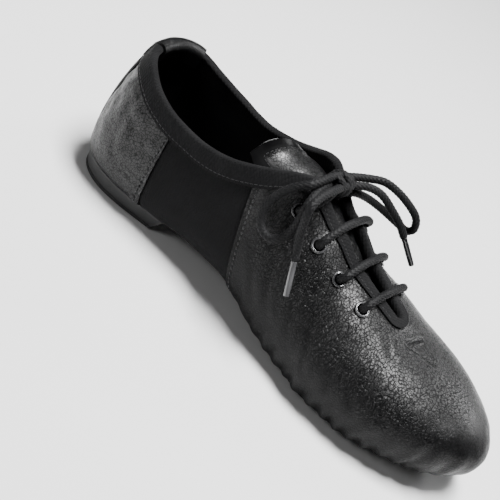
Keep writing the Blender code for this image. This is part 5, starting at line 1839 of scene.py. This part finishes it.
# %% Cloths
def cloth_look(name, dark, light, scale, depth, rough=(0.82, 0.92), sheen=0.25):
    look, tree, shader, place = finish_of(name, dark, light, *rough, sheen=sheen)
    shader.inputs["Specular IOR Level"].default_value = 0.15
    threads = use_group(tree, weave, place, Scale=scale)
    fuzz = math_node(tree, "MULTIPLY", noise_node(tree, place, 1800, 3.0), 0.8)
    bump_to(tree, shader, math_node(tree, "ADD", threads.outputs["Height"], fuzz), depth)
    shader.inputs["Sheen Roughness"].default_value = 0.5
    return look


black_tape = cloth_look("black_tape", (0.002, 0.002, 0.0024), (0.006, 0.006, 0.0064), 230, 0.00030,
                        sheen=0.02)
stretch_cloth = cloth_look("stretch_cloth", (0.0015, 0.0015, 0.0018), (0.0045, 0.0045, 0.005), 420,
                           0.00018, sheen=0.015)
black_lining = cloth_look("black_lining", (0.005, 0.005, 0.006), (0.008, 0.008, 0.009), 300,
                          0.00008, sheen=0.0)
braid_cloth = cloth_look("black_braid", (0.0035, 0.0035, 0.004), (0.0065, 0.0065, 0.007), 700,
                         0.00006, rough=(0.50, 0.62), sheen=0.02)
thread_look = cloth_look("black_thread", (0.012, 0.012, 0.0125), (0.028, 0.028, 0.029), 900,
                         0.00003, rough=(0.42, 0.55), sheen=0.2)

# %% [markdown]
# ## Rubber, suede, metal and tips
# These differ in gloss and in the fineness of a plain noise. The lace tips have a glassy coat. The
# near tip is a lighter and the far tip a darker copy of one film: painted light and painted shade.

# %% Rubber, metal and tips
def plain_look(name, dark, light, rough, depth, scale, **more):
    look, tree, shader, place = finish_of(name, dark, light, *rough, **more)
    bump_to(tree, shader, noise_node(tree, place, scale, 3.0), depth)
    return look


black_rubber = plain_look("black_rubber", (0.008, 0.008, 0.0085), (0.014, 0.014, 0.0145),
                          (0.55, 0.68), 0.00010, 1400)
suede_pad = plain_look("black_suede", (0.008, 0.008, 0.008), (0.016, 0.0155, 0.0155),
                       (0.85, 0.95), 0.00016, 1900, sheen=0.1)
dark_metal = plain_look("dark_metal", (0.015, 0.015, 0.016), (0.03, 0.03, 0.032), (0.24, 0.34),
                        0.00001, 900, coat=0.4, coat_rough=0.15)
bright_metal = plain_look("worn_metal", (0.10, 0.10, 0.105), (0.17, 0.17, 0.175), (0.22, 0.32),
                          0.00001, 900, metallic=1.0)
# Painted light and shade: the near and the far lace tip are lighter and darker copies of one film.
lit_tip_copy = plain_look("lace_tip_clear", (0.03, 0.03, 0.032), (0.07, 0.07, 0.073), (0.10, 0.14),
                       0.00001, 600, coat=1.0, coat_rough=0.05)
shaded_tip_copy = plain_look("lace_tip_dark", (0.010, 0.010, 0.011), (0.02, 0.02, 0.022), (0.12, 0.18),
                      0.00001, 600, coat=1.0, coat_rough=0.05)
print("Materials:", len(bpy.data.materials))

# %% [markdown]
# ## Where the grain lies
# Grain isn't even on a worn shoe: cells show on the top of the vamp and wrinkles lower on the outer
# side. On the vamp's low side shade is painted by taking the coat off. Each vertex carries its
# shares, which the leather reads.

# %% Grain marks
def mark_grain(piece, base_pebble, base_wrinkle, matte=None):
    """Write each vertex's share of pebbled grain, of drawn wrinkles and of matte finish with
    painted shade.
    """
    count = len(piece.data.vertices)
    p = np.empty(count * 3, np.float32)
    piece.data.vertices.foreach_get("co", p)
    p = p.reshape(-1, 3).astype(float) - SHIFT
    x = np.clip(p[:, 0], 0, LENGTH)
    high = (p[:, 2] - widest(x)) / (ridge(x) - widest(x))
    front = soft(x, VAMP_SEAM - 0.004, VAMP_SEAM + 0.01)
    pebbled = base_pebble + (1 - base_pebble) * soft(high, 0.55, 0.85) * front
    pebbled *= 1 - 0.6 * soft(x, 0.222, 0.245)
    band = soft(high, 0.02, 0.34) * (1 - soft(high, 0.72, 0.92)) * (p[:, 1] < 0)
    wrinkled = base_wrinkle + band * front * (1 - soft(x, 0.195, 0.225))
    dull_and_shade = np.zeros(count) if matte is None else matte(p)
    grain = 1 - soft(dull_and_shade, 0.86, 1.0)
    for name, values in (("pebbled", pebbled * grain), ("wrinkled", wrinkled * grain),
                         ("matte", dull_and_shade)):
        layer = piece.data.attributes.new(name, "FLOAT", "POINT")
        layer.data.foreach_set("value", values.astype(np.float32))


def low_side_shade(p):
    """Painted shade down the sides: the lower the leather lies, the more of its coat is taken off.
    """
    x = np.clip(p[:, 0], 0, LENGTH)
    high = (p[:, 2] - widest(x)) / (ridge(x) - widest(x))
    return 0.85 * (1 - soft(high, 0.1, 0.7))


def tongue_band(p):
    """The tape sewn round the tongue's free end and sides."""
    across = p[:, 1] / (TONGUE_WIDTH / 2)
    start = TONGUE_TOP + TONGUE_SKEW * across * TONGUE_WIDTH / 2
    from_side = TONGUE_WIDTH / 2 * at(TONGUE, "width", p[:, 0]) - np.abs(p[:, 1])
    edge = np.minimum(p[:, 0] - start, from_side)
    return 1 - soft(edge, TONGUE_BAND - 0.0004, TONGUE_BAND + 0.0002)


# The vamp's low sides get painted shade through a thinner coat.
mark_grain(vamp, 0.50, 0.10, low_side_shade)
mark_grain(counter, 0.60, 0.15, lambda p: np.full(len(p), 0.25))
mark_grain(tongue, 0.8, 0.0, tongue_band)
mark_grain(tab, 0.5, 0.1)
mark_grain(strap, 0.4, 0.1)

# %% [markdown]
# ## Putting it together
# Each piece gets its finish, rides on the root body and hides the frame's solids that it replaces.

# %% Finishes and nodes
settle(vamp, black_leather, "black_leather", "upper")
settle(counter, black_leather, "black_leather")
settle(lining, black_lining, "black_lining")
for piece in inserts:
    settle(piece, stretch_cloth, "black_lining")
settle(tape, black_tape, "black_tape", "collar_binding")
settle(tab, strap_leather, "black_leather", "heel_tab")
settle(strap, strap_leather, "black_leather", "back_strap")
settle(tongue, black_leather, "black_leather", "tongue")
settle(sole, suede_pad, "black_rubber", "forefoot_sole")
settle(insole, black_lining, "black_lining", "insole")
settle(heel, black_rubber, "black_rubber", "heel_block")
settle(stitches, thread_look, "black_braid")
for name, piece in flanges.items():
    settle(piece, dark_metal, "dark_metal", f"eyelet_{name}")
    settle(mouths[name], bright_metal, "dark_metal")
for name in ("lace_bar_1", "lace_bar_2", "lace_bar_3", "lace_top_lateral", "lace_top_medial",
             "lace_knot"):
    braids[name].name = braids[name].data.name = name + "_braid"
    settle(braids[name], braid_cloth, "black_braid", name)
for side in ("lateral", "medial"):
    for part in ("loop", "end"):
        free = f"lace_{part}_{side}"
        way = braids[free + "_way"] + SHIFT
        piece = braids[free]
        piece.name = piece.data.name = free + "_braid"
        settle(piece, braid_cloth, "black_braid", free)
        if part == "end":
            tip = tips[side]
            settle(tip, lit_tip_copy if side == "lateral" else shaded_tip_copy, "lace_tip", f"aglet_{side}")

# %% [markdown]
# ## Floor and light
# A wide pale floor that fades into the background and three large soft lights: one overhead that
# draws the long shine down the vamp, one low fill from the front and one behind to lift the edges.

# %% Floor and light
FLOOR_SIZE, FLOOR_DROP = 12, 0.0002
PAPER = (0.78, 0.78, 0.78, 1)
WORLD_LIGHT = 0.08
bpy.ops.mesh.primitive_grid_add(x_subdivisions=4, y_subdivisions=4, size=FLOOR_SIZE,
                                location=(0, 0, -FLOOR_DROP))
floor = bpy.context.object
floor.name = floor.data.name = "floor"
paper = bpy.data.materials.new("paper")
paper.use_nodes = True
paper.node_tree.nodes["Principled BSDF"].inputs["Base Color"].default_value = PAPER
paper.node_tree.nodes["Principled BSDF"].inputs["Roughness"].default_value = 0.95
floor.data.materials.append(paper)


def soft_light(name, place, aim, size, power):
    """A rectangular soft light aimed at a point."""
    bpy.ops.object.light_add(type="AREA", location=place)
    light = bpy.context.object
    light.name = name
    light.data.shape = "RECTANGLE"
    light.data.size, light.data.size_y = size
    light.data.energy = power
    light.rotation_euler = (Vector(aim) - Vector(place)).to_track_quat("-Z", "Y").to_euler()


soft_light("overhead", (0.06, 0.05, 1.1), (0.02, 0.0, 0.03), (0.50, 0.26), 44)
soft_light("front_fill", (-0.7, -1.1, 0.8), (0.0, 0.0, 0.03), (0.5, 0.4), 4)
soft_light("back_rim", (0.6, 1.1, 0.7), (0.0, 0.0, 0.04), (0.5, 0.3), 6)
world = bpy.data.worlds.new("studio")
world.use_nodes = True
world.node_tree.nodes["Background"].inputs["Color"].default_value = (1, 1, 1, 1)
world.node_tree.nodes["Background"].inputs["Strength"].default_value = WORLD_LIGHT
bpy.context.scene.world = world
